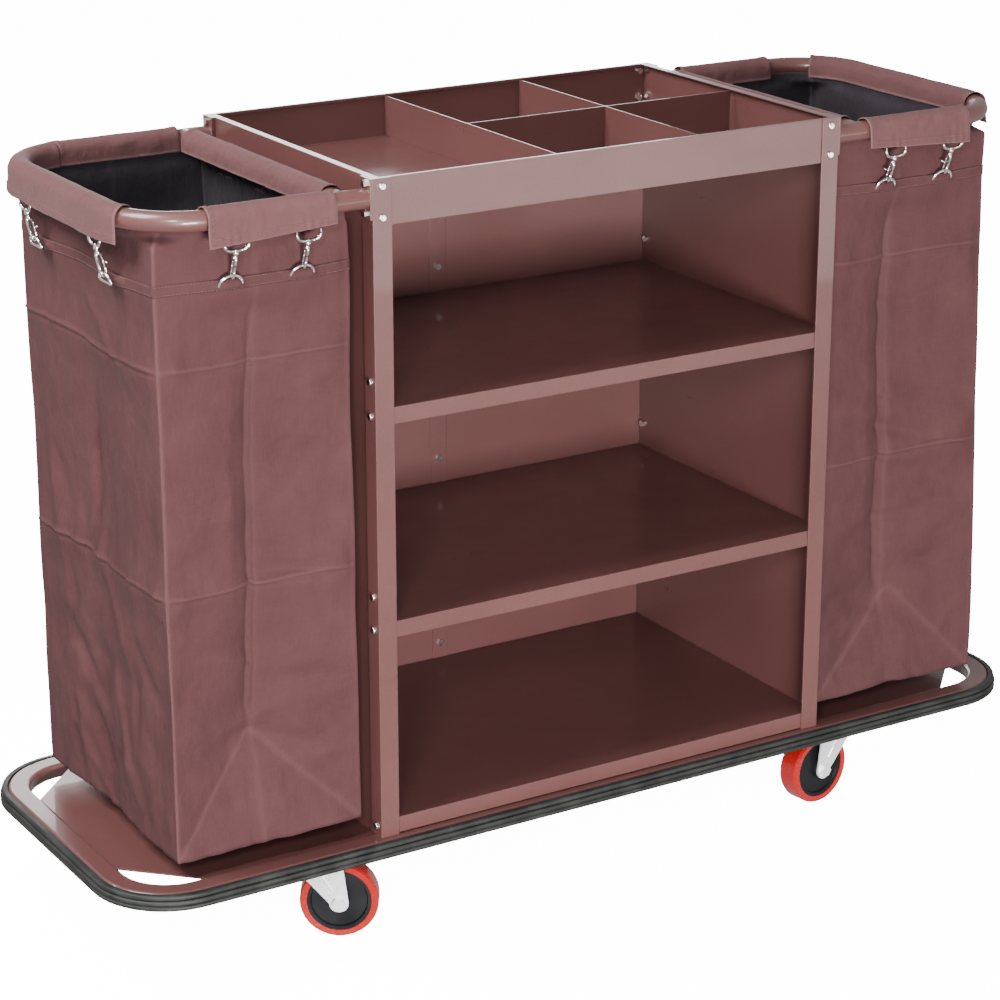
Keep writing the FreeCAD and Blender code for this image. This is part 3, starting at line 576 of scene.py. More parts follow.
def sweep(parts, path, radii, sides):
    """Round bar along a path of points with a radius at each, closed by domes at both ends."""
    tangents = np.gradient(path, axis=0)
    tangents /= np.linalg.norm(tangents, axis=1)[:, None]
    normal = np.cross(tangents[0], ACROSS_BAR)
    rings, steps = [], [0.0]
    dome = [(-math.cos(a), math.sin(a)) for a in DOME_TURNS]
    last = len(path) - 1
    stations = [(path[0] + tangents[0] * radii[0] * c, radii[0] * s, 0) for c, s in dome]
    stations += [(path[i], radii[i], i) for i in range(len(path))]
    stations += [(path[-1] - tangents[-1] * radii[-1] * c, radii[-1] * s, last) for c, s in reversed(dome)]
    for centre, radius, i in stations:
        normal = normal - tangents[i] * (normal @ tangents[i])
        normal /= np.linalg.norm(normal)
        other = np.cross(tangents[i], normal)
        angles = np.arange(sides) * 2 * math.pi / sides
        rings.append(centre + radius * (np.cos(angles)[:, None] * normal + np.sin(angles)[:, None] * other))
    for a, b in zip(stations, stations[1:]):
        steps.append(steps[-1] + np.linalg.norm(b[0] - a[0]))
    across = np.arange(sides + 1) * 2 * math.pi * radii.mean() / sides
    points = np.array(rings)
    faces, cloth = grid_piece(points, across, np.array(steps), closed=True)
    top = (len(rings) - 1) * sides
    faces = [tuple(f) for f in faces] + [tuple(range(sides - 1, -1, -1)), tuple(range(top, top + sides))]
    parts.take(points, faces, join([cloth, np.zeros((2 * sides, 2))]))


def rounded(path, count):
    """Points along a smooth curve that rounds off the corners of a path."""
    path = [np.asarray(p, float) for p in path]
    curve = [path[0]]
    for before, corner, after in zip(path, path[1:], path[2:]):
        start, end = (before + corner) / 2, (corner + after) / 2
        for step in range(count):
            t = step / (count - 1)
            curve.append((1 - t) ** 2 * start + 2 * t * (1 - t) * corner + t * t * end)
    curve.append(path[-1])
    return np.array(curve)


def stitches(parts, path, normals):
    """Row of thread stitches lying on a surface along a path."""
    steps = run_lengths(path)
    at = STITCH_GAP
    while at + STITCH < steps[-1]:
        stations = np.array([at, at + STITCH * 0.2, at + STITCH * 0.8, at + STITCH])
        centre = np.stack([np.interp(stations, steps, path[:, k]) for k in range(3)], axis=1)
        up = np.stack([np.interp(at + STITCH / 2, steps, normals[:, k]) for k in range(3)])
        up /= np.linalg.norm(up)
        forward = centre[-1] - centre[0]
        forward /= np.linalg.norm(forward)
        beside = np.cross(forward, up)
        rings = []
        for k, (rise, size) in enumerate(STITCH_RINGS):
            middle = centre[k] + up * rise * STITCH_WIDTH
            half = size * STITCH_WIDTH / 2
            rings.append([middle + beside * half, middle + up * half,
                          middle - beside * half, middle - up * half])
        points = np.array(rings)
        faces, cloth = grid_piece(points, np.arange(5) * STITCH_WIDTH, stations, closed=True)
        faces = [tuple(f) for f in faces] + [(3, 2, 1, 0), (12, 13, 14, 15)]
        parts.take(points, faces, join([cloth, np.zeros((8, 2))]))
        at += STITCH + STITCH_GAP


# ---- bag body

def spaced(start, end, step, extra=None):
    """Even stations from start to end, with one more at a set place if it is given."""
    stations = list(np.linspace(start, end, max(2, round(abs(end - start) / step)) + 1))
    if extra is not None:
        stations = [s for s in stations if abs(s - extra) > step * 0.3 or s in (start, end)] + [extra]
    return np.array(sorted(stations, reverse=end < start))


class Bag:
    """Shape of one bag. Each bag has its own creases and its own seed."""

    def __init__(self, side, name, seed, crease_top, crease_low, depth, apex, lean):
        self.side, self.name, self.seed = side, name, seed
        self.crease_top, self.crease_low = crease_top, crease_low
        self.depth, self.apex, self.lean = depth, apex, lean
        self.crease_middle = (crease_top + crease_low) / 2
        self.columns()
        self.body()

    def columns(self):
        """Stations round the bag: front, cabinet side, rear, end. Rows are closer at the hems and folds."""
        front = spaced(BAG_OUT, BAG_IN, 0.0042, self.crease_middle)[:-1]
        inner = spaced(-BAG_Y, BAG_Y, 0.0044)[:-1]
        rear = spaced(BAG_IN, BAG_OUT, 0.0042, self.crease_middle)[:-1]
        end = spaced(BAG_Y, -BAG_Y, 0.0044)[:-1]
        self.wall = np.repeat([FRONT, INNER, REAR, END], [len(side) for side in (front, inner, rear, end)])
        self.pleated = (self.wall == FRONT) | (self.wall == REAR)
        self.out = join([front, np.full(len(inner), BAG_IN), rear, np.full(len(end), BAG_OUT)])
        self.y = join([np.full(len(front), -BAG_Y), inner, np.full(len(rear), BAG_Y), end])
        steps = np.hypot(np.diff(np.append(self.out, self.out[0])), np.diff(np.append(self.y, self.y[0])))
        self.across = join([[0.0], np.cumsum(steps)])
        rows = [spaced(FOOT_Z, BAND_LOW - 0.004, 0.0050), spaced(BAND_HIGH + 0.005, 0.9370, 0.0050)]
        rows += [np.arange(BAND_LOW - 0.0015, BAND_HIGH + 0.002, 0.0015), np.arange(0.9400, BAG_TOP, 0.0025)]
        rows += [np.arange(height - 0.009, height + 0.010, 0.0022) for height in SHARP_FOLDS]
        self.rows = np.unique(join([*rows, [BAG_TOP]]).round(5))

    def top_outline(self):
        """Where each station ends up at the bag's top, inside the tubes and under the flaps."""
        inside = BEND_R - UNDER_FLAP
        reach, depth = BAG_OUT - BEND_OUT, BAG_Y - BEND_Y
        out, y = self.out.copy(), self.y.copy()
        for i, (a, b, wall) in enumerate(zip(self.out, self.y, self.wall)):
            face = math.copysign(1.0, b)
            if wall == INNER:
                out[i] = CROSS_OUT - UNDER_FLAP
                y[i] = b * (LEG_Y - UNDER_FLAP) / BAG_Y
            elif wall == END and abs(b) <= BEND_Y:
                out[i] = END_OUT - UNDER_FLAP
            elif wall != END and a <= BEND_OUT:
                out[i] = max(a, CROSS_OUT - UNDER_FLAP)
                y[i] = face * (LEG_Y - UNDER_FLAP)
            else:
                part = (abs(b) - BEND_Y) / depth if wall == END else 2.0 - (a - BEND_OUT) / reach
                turn = math.radians(45.0) * part
                out[i] = BEND_OUT + inside * math.cos(turn)
                y[i] = face * (BEND_Y + inside * math.sin(turn))
        return out, y

    def gusset(self, out, z):
        """Depth of the inward pleat of the front and rear, with the folded triangle at its foot."""
        crease = self.crease(z)
        half = np.where(out > crease, BAG_OUT - crease, crease - BAG_IN)
        pleat = 1.0 - np.abs(out - crease) / half
        foot = (z - FOOT_Z) / (self.apex - FOOT_Z)
        folded = smooth_min(pleat, np.clip(foot, 0.0, None), 0.020)
        heights = (self.apex, 0.50, 0.80, PLEAT_TOP_Z)
        depth = np.interp(z, heights, [self.depth * share for share in (1.0, 0.58, 0.38, 0.0)])
        valley = peak(out - crease, 0.009) * ease(z, PLEAT_TOP_Z, 0.82)
        groove = 0.0030 * valley * ease(z, self.apex - 0.01, self.apex + 0.02)
        behind = self.side * (out - crease) < 0
        steep = np.where(behind, peak(out - crease, 0.034) ** 1.5, 0.0) * ease(z, PLEAT_TOP_Z, 0.72)
        groove = groove + 0.0110 * steep * ease(z, self.apex - 0.01, self.apex + 0.05)
        tuck = 0.0022 * peak(out - crease - 0.010, 0.012) * ease(z, self.apex - 0.03, self.apex - 0.07)
        return depth * np.where(z < self.apex + 0.03, folded, pleat) + groove + tuck

    def crease(self, z):
        """Where the pleat's valley runs at a height."""
        t = np.clip((z - PLEAT_LOW_Z) / (PLEAT_TOP_Z - PLEAT_LOW_Z), 0.0, 1.0)
        return self.crease_low * (1 - t) + self.crease_top * t

    def body(self):
        """Points of the bag's walls."""
        z = self.rows[:, None] * np.ones_like(self.out)
        rise = 0.30 * ease(z, FLARE_Z, TURN_START_Z) + 0.70 * ease(z, TURN_START_Z, TURN_IN_Z)
        corner = self.corner_share()
        rise = rise * (1 - corner) + ease(z, TURN_START_Z + 0.006, TURN_IN_Z) * corner
        top_out, top_y = self.top_outline()
        middle = self.crease_middle
        along = self.pleated * peak(self.out - middle, BAG_OUT - middle)
        out = self.out + (self.crease(z) - middle) * along
        share = (self.out - BAG_IN) / (BAG_OUT - BAG_IN)
        out = out + share * self.lean * ease(z, 0.92, BAG_BOTTOM)
        out = out - (1 - share) * INNER_LEAN * ease(z, 0.70, BAG_BOTTOM)
        out = out * (1 - rise) + top_out * rise
        y = self.y * (1 - rise) + top_y * rise
        normal_out = np.select([self.wall == INNER, self.wall == END], [-1.0, 1.0], 0.0)
        normal_y = np.select([self.wall == FRONT, self.wall == REAR], [-1.0, 1.0], 0.0)
        pleat = self.pleated * self.gusset(out, z)
        push = self.relief(out, y, z) * self.edge_fade() - pleat
        corner = self.corner_shift(z)
        out = out + normal_out * push + corner[0]
        y = y + normal_y * push + corner[1]
        self.points = np.stack([out, y, z + self.foot_wave(out, y, z)], axis=2)
        # painted highlights along the creases and edges
        self.painted_highlight = self.painted_highlight_lines(z)

    def corner_share(self):
        """1 at the two corners under the frame's bends, 0 along the straight tubes."""
        on_end = ease(np.abs(self.y), BEND_Y - 0.02, BEND_Y + 0.02)
        on_side = ease(self.out, BAG_OUT - 0.095, BAG_OUT - 0.055)
        return np.select([self.wall == END, self.wall == INNER], [on_end, 0.0], on_side)

    def edge_fade(self):
        """0 at the four upright edges, 1 away from them."""
        gap = np.minimum(np.abs(self.out - BAG_OUT), np.abs(self.out - BAG_IN))
        return ease(np.where(self.pleated, gap, BAG_Y - np.abs(self.y)), 0.0, 0.022)

    def relief(self, out, y, z):
        """Slack, packing folds and crumples, in metres outwards."""
        seed = self.seed
        ends = ease(z, 0.945, 0.895) * (1.0 - 0.75 * ease(z, 0.83, BAND_LOW))
        slack = 0.0035 * field(out, y * 0.8, z * 0.45, 7.0, seed, 2)
        drape = 0.0018 * field(out * 2.2, y * 2.2, z * 0.7, 11.0, seed + 3, 2)
        foot = ease(z, BAG_BOTTOM + 0.16, BAG_BOTTOM)
        crumple = 0.0009 * field(out, y, z, 21.0, seed + 5, 2, True) * (1.0 + 1.5 * foot)
        folds = np.zeros_like(z)
        for height, size, wall in PACKING_FOLDS:
            off = z - self.fold_line(height, out, y)
            ridge = peak(off, 0.048) ** 1.3
            if height in SHARP_FOLDS:
                ridge = ridge + 0.30 * peak(off - 0.002, 0.0045) - 0.30 * peak(off + 0.004, 0.0045)
            folds = folds + (self.wall == wall) * size * ridge
        hollow = 0.0085 * peak(y - 0.012, 0.11) * ease(z, 0.86, 0.70)
        folds = folds - (self.wall == END) * hollow + self.packing_creases(z)
        height = bell(z - BAND_LOW - 0.004, 0.030) * ease(z, TURN_IN_Z, TURN_START_Z)
        pull = RING_PULL * height * np.minimum(1.0, self.near_rings(out, y, 0.055, 2))
        return (slack + drape + crumple + folds) * ends + pull

    def fold_line(self, height, out, y):
        """Height of a packing fold, which rises and falls a little round the bag."""
        return height + 0.002 * np.sin(25 * (out + y) + self.seed)

    def packing_creases(self, z):
        """Short sharp ridges and valleys left by folding and packing, in metres outwards."""
        chance = np.random.default_rng(self.seed)
        total = np.zeros_like(z)
        along = np.where(self.pleated, self.out, self.y)
        for wall, count, centre, spread in CREASES:
            for _ in range(count):
                place = chance.normal(centre, spread)
                height = chance.triangular(BAG_BOTTOM, BAG_BOTTOM + 0.12, 0.86)
                turn = chance.uniform(*((0.6, 1.8) if wall == END else (-0.5, 0.5)))
                turn = turn * chance.choice((-1.0, 1.0))
                length = chance.uniform(0.040, 0.130)
                size = chance.uniform(0.0018, 0.0050) * chance.choice((-1.0, 1.0))
                lengthwise = (along - place) * math.cos(turn) + (z - height) * math.sin(turn)
                sideways = (z - height) * math.cos(turn) - (along - place) * math.sin(turn)
                ridge = peak(sideways, chance.uniform(0.012, 0.026))
                ridge = ridge * np.clip(1.0 - (lengthwise / length) ** 2, 0.0, None)
                total = total + (self.wall == wall) * size * ridge
        return total

    def near_rings(self, out, y, reach, power):
        """1 at each D-ring, falling to 0 away from it along the wall."""
        total = np.zeros(np.broadcast(out, y).shape)
        for place in HOOK_OUT[self.name]:
            total = total + self.pleated * bell(out - place, reach, power)
        for place in HOOK_END_Y:
            total = total + (self.wall == END) * bell(y - place, reach, power)
        return total

    def band(self):
        """Tape sewn round the bag, with a pocket for the straight bar of each D-ring."""
        heights = np.linspace(BAND_LOW, BAND_HIGH, 9)
        index = np.interp(heights, self.rows, np.arange(len(self.rows)))
        low = np.floor(index).astype(int)
        part = (index - low)[:, None, None]
        points = self.points[low] * (1 - part) + self.points[low + 1] * part
        normals = self.normals()[low]
        open_part = np.sin(np.linspace(0.0, math.pi, len(heights)))[:, None] ** 0.6
        pocket = self.near_rings(points[:, :, 0], points[:, :, 1], 0.0185, 6)
        offset = 0.0005 + 0.0050 * open_part * pocket
        return points + normals * offset[:, :, None], normals, heights

    def corner_shift(self, z):
        """Small wander of the upright edges, shared by the two walls that meet there."""
        total = [np.zeros_like(z), np.zeros_like(z)]
        corners = ((BAG_OUT, -BAG_Y), (BAG_IN, -BAG_Y), (BAG_IN, BAG_Y), (BAG_OUT, BAG_Y))
        for number, (a, b) in enumerate(corners):
            near = peak(np.maximum(np.abs(self.out - a), np.abs(self.y - b)), 0.12)
            for axis in (0, 1):
                wander = 0.0022 * field(0.0, number * 3.7 + axis, self.rows, 6.0, self.seed + 9, 2)
                wander = wander * ease(self.rows, 0.94, 0.88)
                total[axis] = total[axis] + wander[:, None] * near
        return total

    def foot_wave(self, out, y, z):
        """Height change near the foot, so that the bottom edge isn't ruled straight."""
        low = ease(z, BAG_BOTTOM + 0.10, BAG_BOTTOM)
        lift = 0.003 * field(out, y, 0.0, 9.0, self.seed + 12, 2)
        return low * (lift - 0.0015)

    def painted_highlight_lines(self, z):
        """Painted highlight at each point: lighter lines along the upright edges, the pleat, the triangle's
        diagonals and the packing folds.
        """
        edge = np.minimum(np.abs(self.out - BAG_OUT), np.abs(self.out - BAG_IN))
        edge = edge + np.abs(np.abs(self.y) - BAG_Y)
        marks = np.zeros_like(z) + bell(edge, 0.0030)
        crease = self.crease(z)
        marks = marks + self.pleated * 0.35 * bell(self.out - self.crease_middle, 0.0042)
        half = np.where(self.out > crease, BAG_OUT - crease, crease - BAG_IN)
        foot = (z - FOOT_Z) / (self.apex - FOOT_Z)
        diagonal = 1.0 - np.abs(self.out - crease) / half - foot
        marks = marks + np.where(self.pleated & (foot < 1.0), 0.52 * bell(diagonal, 0.032), 0.0)
        for height in SHARP_FOLDS:
            off = z - self.fold_line(height, self.out, self.y)
            marks = marks + np.where(self.wall != INNER, 0.45 * bell(off - 0.001, 0.0026), 0.0)
        return np.clip(marks, 0.0, 1.0)

    def normals(self):
        """Outward direction at each point of the walls."""
        along_u = np.roll(self.points, -1, axis=1) - np.roll(self.points, 1, axis=1)
        along_v = np.gradient(self.points, axis=0)
        normal = np.cross(along_v, along_u)
        normal /= np.linalg.norm(normal, axis=2)[:, :, None]
        outward = self.points - (BAG_MIDDLE, 0.0, 0.0)
        outward[:, :, 2] = 0.0
        sign = np.sign((normal * outward).sum(axis=2))
        return normal * np.where(sign == 0, 1, sign)[:, :, None]

    def bottom(self):
        """Bottom panel, from the walls' lowest row to a slightly sagging middle."""
        ring = self.points[0]
        rings = [ring]
        middle = np.array([BAG_MIDDLE, 0.0, ring[:, 2].mean() + 0.002])
        for t in (0.012, 0.05, 0.12, 0.25, 0.4, 0.55, 0.7, 0.85):
            row = ring * (1 - t) + middle * t
            sag = -0.0035 * np.sin(np.pi * min(1.0, 2.4 * t)) if t < 0.42 else 0.0
            row[:, 2] += sag + 0.0012 * field(row[:, 0], row[:, 1], 0.0, 14.0, self.seed + 20, 2)
            row[:, 2] = np.maximum(row[:, 2], BAG_BOTTOM - 0.004)
            rings.append(row)
        return np.array(rings), middle

    def make(self, name):
        """The body as one piece: cloth outside, dark coating inside."""
        parts = Parts()
        faces, cloth = grid_piece(self.points, self.across, self.rows, closed=True)
        parts.take(self.points, faces, cloth, self.painted_highlight)
        floor, middle = self.bottom()
        columns = len(self.out)
        faces, _ = grid_piece(floor, self.across, np.arange(len(floor)) * 0.02, closed=True)
        faces = [tuple(reversed([int(i) for i in face])) for face in faces]
        last = (len(floor) - 1) * columns
        faces += [(last + (i + 1) % columns, last + i, len(floor) * columns) for i in range(columns)]
        points = join([floor.reshape(-1, 3), [middle]])
        flat = np.array([points[i][:2] for face in faces for i in face])
        parts.take(points, faces, flat, np.zeros(len(points)))
        made = parts.piece(name, FABRIC, "fabric", self.side)
        weld(made)
        return thicken(made, CLOTH, LINING)


def weld(piece):
    """Joins points that lie on each other."""
    mesh = bmesh.new()
    mesh.from_mesh(piece.data)
    bmesh.ops.remove_doubles(mesh, verts=mesh.verts, dist=WELD_REACH)
    mesh.to_mesh(piece.data)
    mesh.free()


# ---- flaps over the tubes

def flap_points(line, inward, inner_hem, outer_hem, seed, hooks):
    """Grid over a tube: line is the tube's centre line, inward points from it to the bag's middle."""
    profile = [("inner", t) for t in np.linspace(0, 1, 7)[:-1]]
    profile += [("arc", t) for t in np.linspace(0, 1, 18)]
    profile += [("outer", t) for t in np.linspace(0, 1, 13)[1:]]
    steps = run_lengths(line)
    grid = np.zeros((len(profile), len(line), 3))
    loose = field(steps, 0.0, 0.0, 19.0, seed, 2)
    pucker = sum(0.0011 * np.cos((steps - at) * 2 * math.pi / 0.011) * bell(steps - at, 0.017)
                 for at in hooks)
    side_hem = 0.0008 * ease(np.minimum(steps, steps[-1] - steps), SIDE_HEM + 0.001, SIDE_HEM - 0.001)
    for i, (kind, t) in enumerate(profile):
        if kind == "inner":
            side = FLAP_WRAP + 0.0004 + 0.0015 * (1 - t) * np.abs(loose)
            height = (inner_hem - TUBE_Z) * (1 - t)
        elif kind == "arc":
            turn = math.pi * t
            swell = (1.0 + 0.03 * loose * math.sin(turn)) * FLAP_WRAP + side_hem
            side, height = math.cos(turn) * swell, math.sin(turn) * swell
        else:
            hem = np.maximum(side_hem, 0.0009 * ease(t, 0.60, 0.68))
            side = -(FLAP_WRAP + hem + (0.0012 + 0.0022 * loose + pucker) * t ** 1.3)
            height = (outer_hem - TUBE_Z) * t
        grid[i, :, :2] = line + inward * np.broadcast_to(side, steps.shape)[:, None]
        grid[i, :, 2] = TUBE_Z + height
    lengths = run_lengths(grid[:, 0])
    crumple = 0.0007 * field(steps, lengths[:, None], 0.0, 45.0, seed + 2, 2, True)
    grid[:, :, :2] -= inward * crumple[:, :, None]
    return grid, lengths


def wander(steps, base, size, seed):
    """Hem height that rises and falls a little along the cloth."""
    return base + size * field(steps, 0.0, 0.0, 11.0, seed, 2)


def straight_line(start, end):
    """Even points from start to end."""
    count = max(3, round(math.dist(start, end) / FLAP_STEP))
    t = np.linspace(0, 1, count + 1)[:, None]
    return np.array(start) * (1 - t) + np.array(end) * t


def end_line(front_turn, rear_turn):
    """Centre line of the frame's end, with part of each bend, and its inward directions."""
    line, inward = [], []

    def bend(angles, face):
        for angle in np.radians(angles):
            direction = np.array([math.cos(angle), face * math.sin(angle)])
            line.append(np.array([BEND_OUT, face * BEND_Y]) + BEND_R * direction)
            inward.append(-direction)

    bend(np.arange(front_turn, 0.0, -BEND_STEP), -1)
    for y in np.linspace(-BEND_Y, BEND_Y, 56):
        line.append(np.array([END_OUT, y]))
        inward.append(np.array([-1.0, 0.0]))
    bend(np.arange(BEND_STEP, rear_turn + 0.1, BEND_STEP), 1)
    return np.array(line), np.array(inward)


def flap_runs(name, rear_far, rear_turn):
    """Each flap: its line, inward directions, inner and outer hem heights, rise of the outer hem, hooks."""
    runs = []
    for face, far in ((-1, FLAP_FRONT_FAR), (1, rear_far)):
        line = straight_line((far, face * LEG_Y), (FLAP_NEAR, face * LEG_Y))
        inward = np.tile([0.0, -float(face)], (len(line), 1))
        runs.append((line, inward, *SIDE_FLAP, [far - out for out in HOOK_OUT[name]]))
    line, inward = end_line(FRONT_TURN, rear_turn)
    start = run_lengths(line)[np.argmin(np.abs(line[:, 1] + BEND_Y))]
    runs.append((line, inward, *END_FLAP, [start + BEND_Y + y for y in HOOK_END_Y]))
    line = straight_line((CROSS_OUT, -CROSS_FLAP_HALF), (CROSS_OUT, CROSS_FLAP_HALF))
    runs.append((line, np.tile([1.0, 0.0], (len(line), 1)), *CROSS_FLAP, []))
    return runs


def side_hems(threads, grid, steps, line):
    """Stitches down both side edges of a flap, a hem's width in from them."""
    for at in (SIDE_HEM, steps[-1] - SIDE_HEM):
        column = int(np.argmin(np.abs(steps - at)))
        path = grid[8:-1, column]
        away = path - (*line[column], TUBE_Z)
        away[:, 2] = np.clip(away[:, 2], 0.0, None)
        away /= np.linalg.norm(away, axis=1)[:, None]
        stitches(threads, path + away * THREAD_LIFT, away)


def flaps(bag, name, threads, rear_far, rear_turn):
    """The four flaps of a bag and their hems. Their stitches go into threads."""
    parts = Parts()
    seed = bag.seed + 40
    for number, (line, inward, inner, outer, slope, hooks) in enumerate(flap_runs(name, rear_far, rear_turn)):
        steps = run_lengths(line)
        inner_hem = wander(steps, inner, 0.0008, seed + number)
        outer_hem = wander(steps, outer, 0.0016, seed + 7 + number) + slope * steps / steps[-1]
        grid, lengths = flap_points(line, inward, inner_hem, outer_hem, seed + number, hooks)
        # Painted highlights: the inner hem rows, the outer hem and the side edges of each flap are lightened.
        painted_highlight = np.zeros(grid.shape[:2])
        painted_highlight[-1] = 0.8
        painted_highlight[:2] = 1.0
        painted_highlight[:, (0, -1)] = 0.6
        faces, cloth = grid_piece(grid, steps, lengths.max() - lengths)
        if number in CLOCKWISE_FLAPS:
            faces, cloth = reversed_faces([tuple(f) for f in faces], cloth)
        parts.take(grid, faces, cloth, painted_highlight)
        outside = -join([inward, np.zeros((len(inward), 1))], axis=1)
        inner_row = grid[1] * 0.5 + grid[0] * 0.5
        for row, facing, lift in ((grid[-5], outside, 0.0007), (inner_row, -outside, 0.0008)):
            stitches(threads, (row + facing * lift)[2:-2], facing[2:-2])
        side_hems(threads, grid, steps, line)
    made = parts.piece("bag_flaps_" + name, FLAP_CLOTH_PAINTED_LIT, "fabric", bag.side)
    thicken(made, CLOTH, None, offset=0.0)


# ---- snap hooks and D-rings

def hook_frames(name):
    """Each hook's top, its unit directions along the wall, down and outwards, and its reach."""
    frames = []
    reach = LEG_Y + FLAP_R - BAG_Y - RING_OFF - RING_PULL
    drop = math.sqrt(HOOK_LENGTH ** 2 - reach ** 2)
    for face in (-1, 1):
        for out in HOOK_OUT[name]:
            top = np.array([out, face * (LEG_Y + FLAP_R), HOOK_TOP])
            down = np.array([0.0, -face * reach, -drop]) / HOOK_LENGTH
            frames.append((top, np.array([1.0, 0.0, 0.0]), down, np.array([0.0, face, 0.0]), HOOK_LENGTH))
    slant = math.radians(END_HOOK_SLANT)
    for y in HOOK_END_Y:
        top = np.array([END_OUT + FLAP_R, y, HOOK_TOP])
        down = np.array([-math.sin(slant), 0.0, -math.cos(slant)])
        frames.append((top, np.array([0.0, 1.0, 0.0]), down, np.array([1.0, 0.0, 0.0]), END_HOOK_LENGTH))
    return frames


def wire(parts, place, path, radius, smooth=5, sides=10):
    """Wire or cast bar. Its path is (along, outwards, down) from a hook's top. Path and radii are in mm."""
    top, along, down, outward, _ = place
    outward = outward - down * (outward @ down)
    outward /= np.linalg.norm(outward)
    curve = rounded(path, smooth) if smooth else np.array(path, float)
    radii = np.interp(np.linspace(0, 1, len(curve)), np.linspace(0, 1, len(radius)), radius)
    points = top + (curve[:, :1] * along + curve[:, 1:2] * outward + curve[:, 2:] * down) * 0.001
    sweep(parts, points, radii * 0.001, sides)


def snap_hook(parts, place):
    """One swivel snap hook: eye, swivel barrel, cast hook and sprung gate with its knob."""
    half = [(0, -5.4, -7.0), (-12.0, -5.4, -7.0), (-15.2, -4.8, -5.5), (-16.0, -1.6, 0.0), (-15.6, 0.4, 5.0),
            (-12.0, 0.6, 9.5), (-5.0, 0.3, 10.8), (0, 0, 11.2)]
    eye = half + [(-a, b, c) for a, b, c in reversed(half[:-1])]
    wire(parts, place, eye, [0.9, 0.9, 1.0, 1.6, 2.3, 2.2, 2.0, 2.4, 2.0, 2.2, 2.3, 1.6, 1.0, 0.9, 0.9])
    barrel = [(0, 0, d) for d in (10.0, 11.5, 12.6, 14.6, 16.0, 16.6, 18.2, 18.8, 20.4, 21.6, 22.6)]
    wire(parts, place, barrel, (1.6, 3.0, 3.9, 4.1, 3.8, 2.2, 2.2, 3.5, 3.9, 3.4, 2.2), smooth=0, sides=16)
    cast = [(0, 0.4, 20.0), (0, 2.6, 21.6), (0, 3.3, 25.0), (0, 3.3, 35.0), (0, 3.2, 43.0), (0, 2.5, 48.0),
            (0, -0.4, 50.6), (0, -3.2, 48.4), (0, -3.8, 44.4), (0, -3.5, 41.8)]
    wire(parts, place, cast, [2.2, 2.3, 2.1, 2.0, 2.1, 2.2, 2.1, 1.9, 1.7, 1.5], sides=12)
    gate = [(0, -1.2, 20.8), (0, -3.0, 23.5), (0, -3.5, 30.0), (0, -3.5, 37.0), (0, -3.5, 41.2)]
    wire(parts, place, gate, [1.4, 1.2, 1.2, 1.25, 1.3])
    knob = [(0, -3.6, 34.4), (-2.0, -4.8, 34.2), (-3.0, -5.6, 34.1), (-3.6, -6.0, 34.0)]
    wire(parts, place, knob, [1.1, 1.2, 1.7, 1.5], smooth=0)


def d_ring(parts, place):
    """One D-ring; its straight bar is held in the bag's seam band."""
    reach, bar = RING_ARCH, place[-1] * 1000
    rise, low = bar - RING_TOP, bar + 0.4
    arch = [(reach * math.cos(a), 0, bar - rise * math.sin(a)) for a in np.radians(np.arange(0, 181, 9))]
    loop = [(0, 0, low), (reach - 2.0, 0, low)] + arch + [(-reach + 2.0, 0, low), (0, 0, low)]
    wire(parts, place, loop, [1.95, 1.95], smooth=3)


def hardware(side, name):
    """All snap hooks and D-rings of one bag. Returns the D-rings, which are sewn to it."""
    hooks, rings = Parts(), Parts()
    for place in hook_frames(name):
        snap_hook(hooks, place)
        d_ring(rings, place)
    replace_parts(hooks.piece("snap_hooks_cast_" + name, NICKEL, "nickel", side), "snap_hooks_" + name)
    made = rings.piece("d_rings_wire_" + name, NICKEL, "nickel", side)
    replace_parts(made, "d_rings_" + name)
    return made


# ---- scene

def build_bag(side, name, rear_far, rear_turn, **shape):
    """One bag with its flaps, tape, stitches, hooks and rings."""
    bag = Bag(side, name, **shape)
    body = bag.make("bag_body_" + name)
    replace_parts(body, "laundry_bag_" + name)
    tape, threads = Parts(), Parts()
    flaps(bag, name, threads, rear_far, rear_turn)
    points, normals, heights = bag.band()
    faces, cloth = grid_piece(points, bag.across, heights, closed=True)
    tape.take(points, faces, cloth)
    strip = thicken(tape.piece("bag_tape_" + name, FABRIC, "fabric", side), CLOTH / 2, None, offset=0.0)
    for row in (1, -2):
        stitches(threads, points[row] + normals[row] * THREAD_LIFT, normals[row])
    thread = threads.piece("bag_stitches_" + name, THREAD, "fabric", side)
    rings = hardware(side, name)


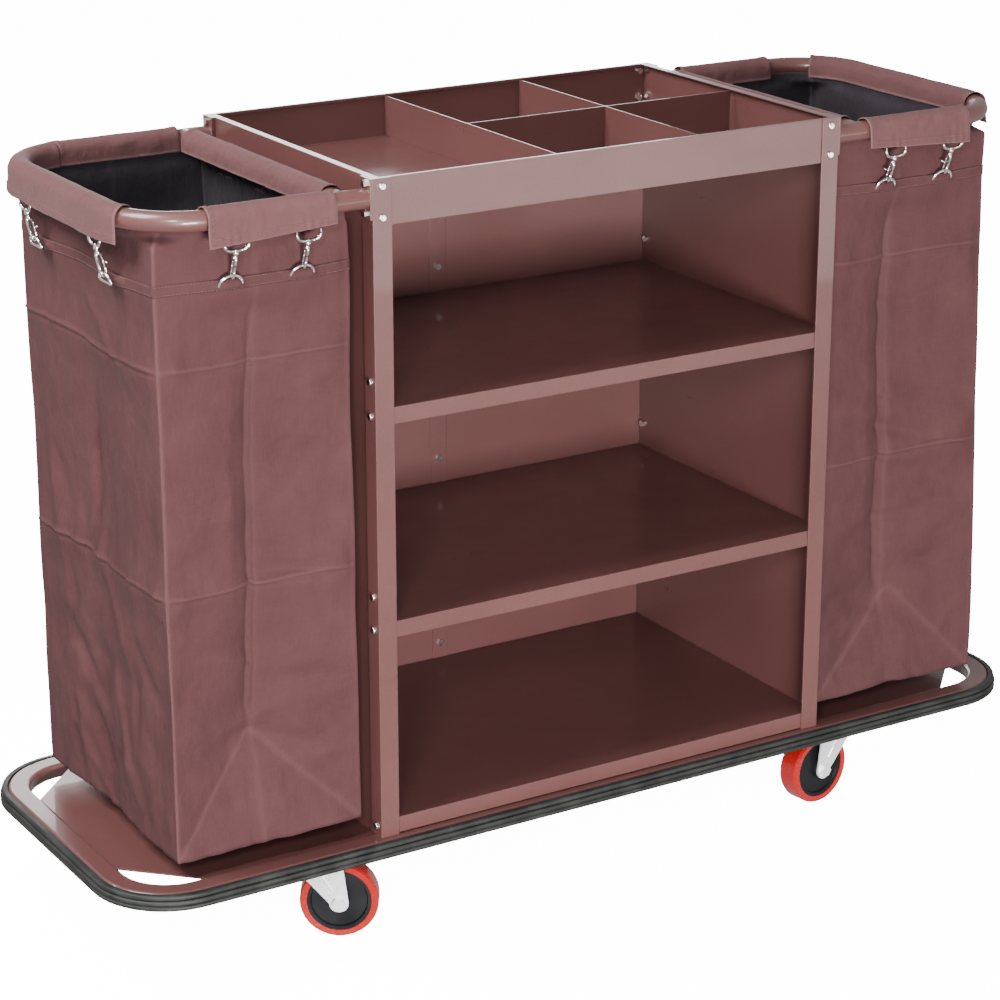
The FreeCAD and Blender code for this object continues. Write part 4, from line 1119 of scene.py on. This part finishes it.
def area_light(name, place, target, size, power):
    """Soft white rectangular studio light."""
    lamp = bpy.data.lights.new(name, "AREA")
    lamp.shape = "RECTANGLE"
    lamp.size, lamp.size_y = size
    lamp.energy = power
    made = bpy.data.objects.new(name, lamp)
    bpy.context.scene.collection.objects.link(made)
    made.location = place
    made.rotation_mode = "QUATERNION"
    made.rotation_quaternion = (Vector(target) - Vector(place)).to_track_quat("-Z", "Y")


def floor_points():
    """Flat square grid out to the studio's reach."""
    line = np.linspace(-STUDIO_REACH, STUDIO_REACH, FLOOR_CELLS + 1)
    side = FLOOR_CELLS + 1
    faces = [(r * side + c, r * side + c + 1, (r + 1) * side + c + 1, (r + 1) * side + c)
             for r in range(FLOOR_CELLS) for c in range(FLOOR_CELLS)]
    return [(x, y, 0.0) for y in line for x in line], faces


def backdrop_points():
    """Tall round wall at the edge of the floor."""
    turns = np.arange(WALL_SIDES) * 2 * math.pi / WALL_SIDES
    points = [(STUDIO_REACH * math.cos(a), STUDIO_REACH * math.sin(a), z)
              for z in WALL_HEIGHTS for a in turns]
    beside = [(i + 1) % WALL_SIDES for i in range(WALL_SIDES)]
    return points, [(j, i, WALL_SIDES + i, WALL_SIDES + j) for i, j in enumerate(beside)]


def studio():
    """Pale floor and backdrop, soft lights and a white surround."""
    material = floor_material()
    for name, (points, faces) in (("studio_floor", floor_points()), ("studio_backdrop", backdrop_points())):
        mesh = bpy.data.meshes.new(name)
        mesh.from_pydata(points, [], faces)
        mesh.materials.append(material)
        piece = bpy.data.objects.new(name, mesh)
        bpy.context.scene.collection.objects.link(piece)
        piece.visible_shadow = name == "studio_floor"
        piece.visible_diffuse = False
        piece.visible_glossy = False
    for light in LIGHTS:
        area_light(*light)
    world = bpy.data.worlds.new("white_surround")
    bpy.context.scene.world = world
    world.use_nodes = True
    background = world.node_tree.nodes["Background"]
    background.inputs[0].default_value = (1.0, 1.0, 1.0, 1.0)
    background.inputs[1].default_value = WORLD_LIGHT


finish_cad_nodes()
build_bag(-1, "left", rear_far=0.5615, rear_turn=80.0,
          seed=3, crease_top=0.489, crease_low=0.498, depth=0.030, apex=0.305, lean=-0.003)
build_bag(1, "right", rear_far=0.5450, rear_turn=48.0,
          seed=11, crease_top=0.462, crease_low=0.486, depth=0.027, apex=0.300, lean=0.018)
studio()
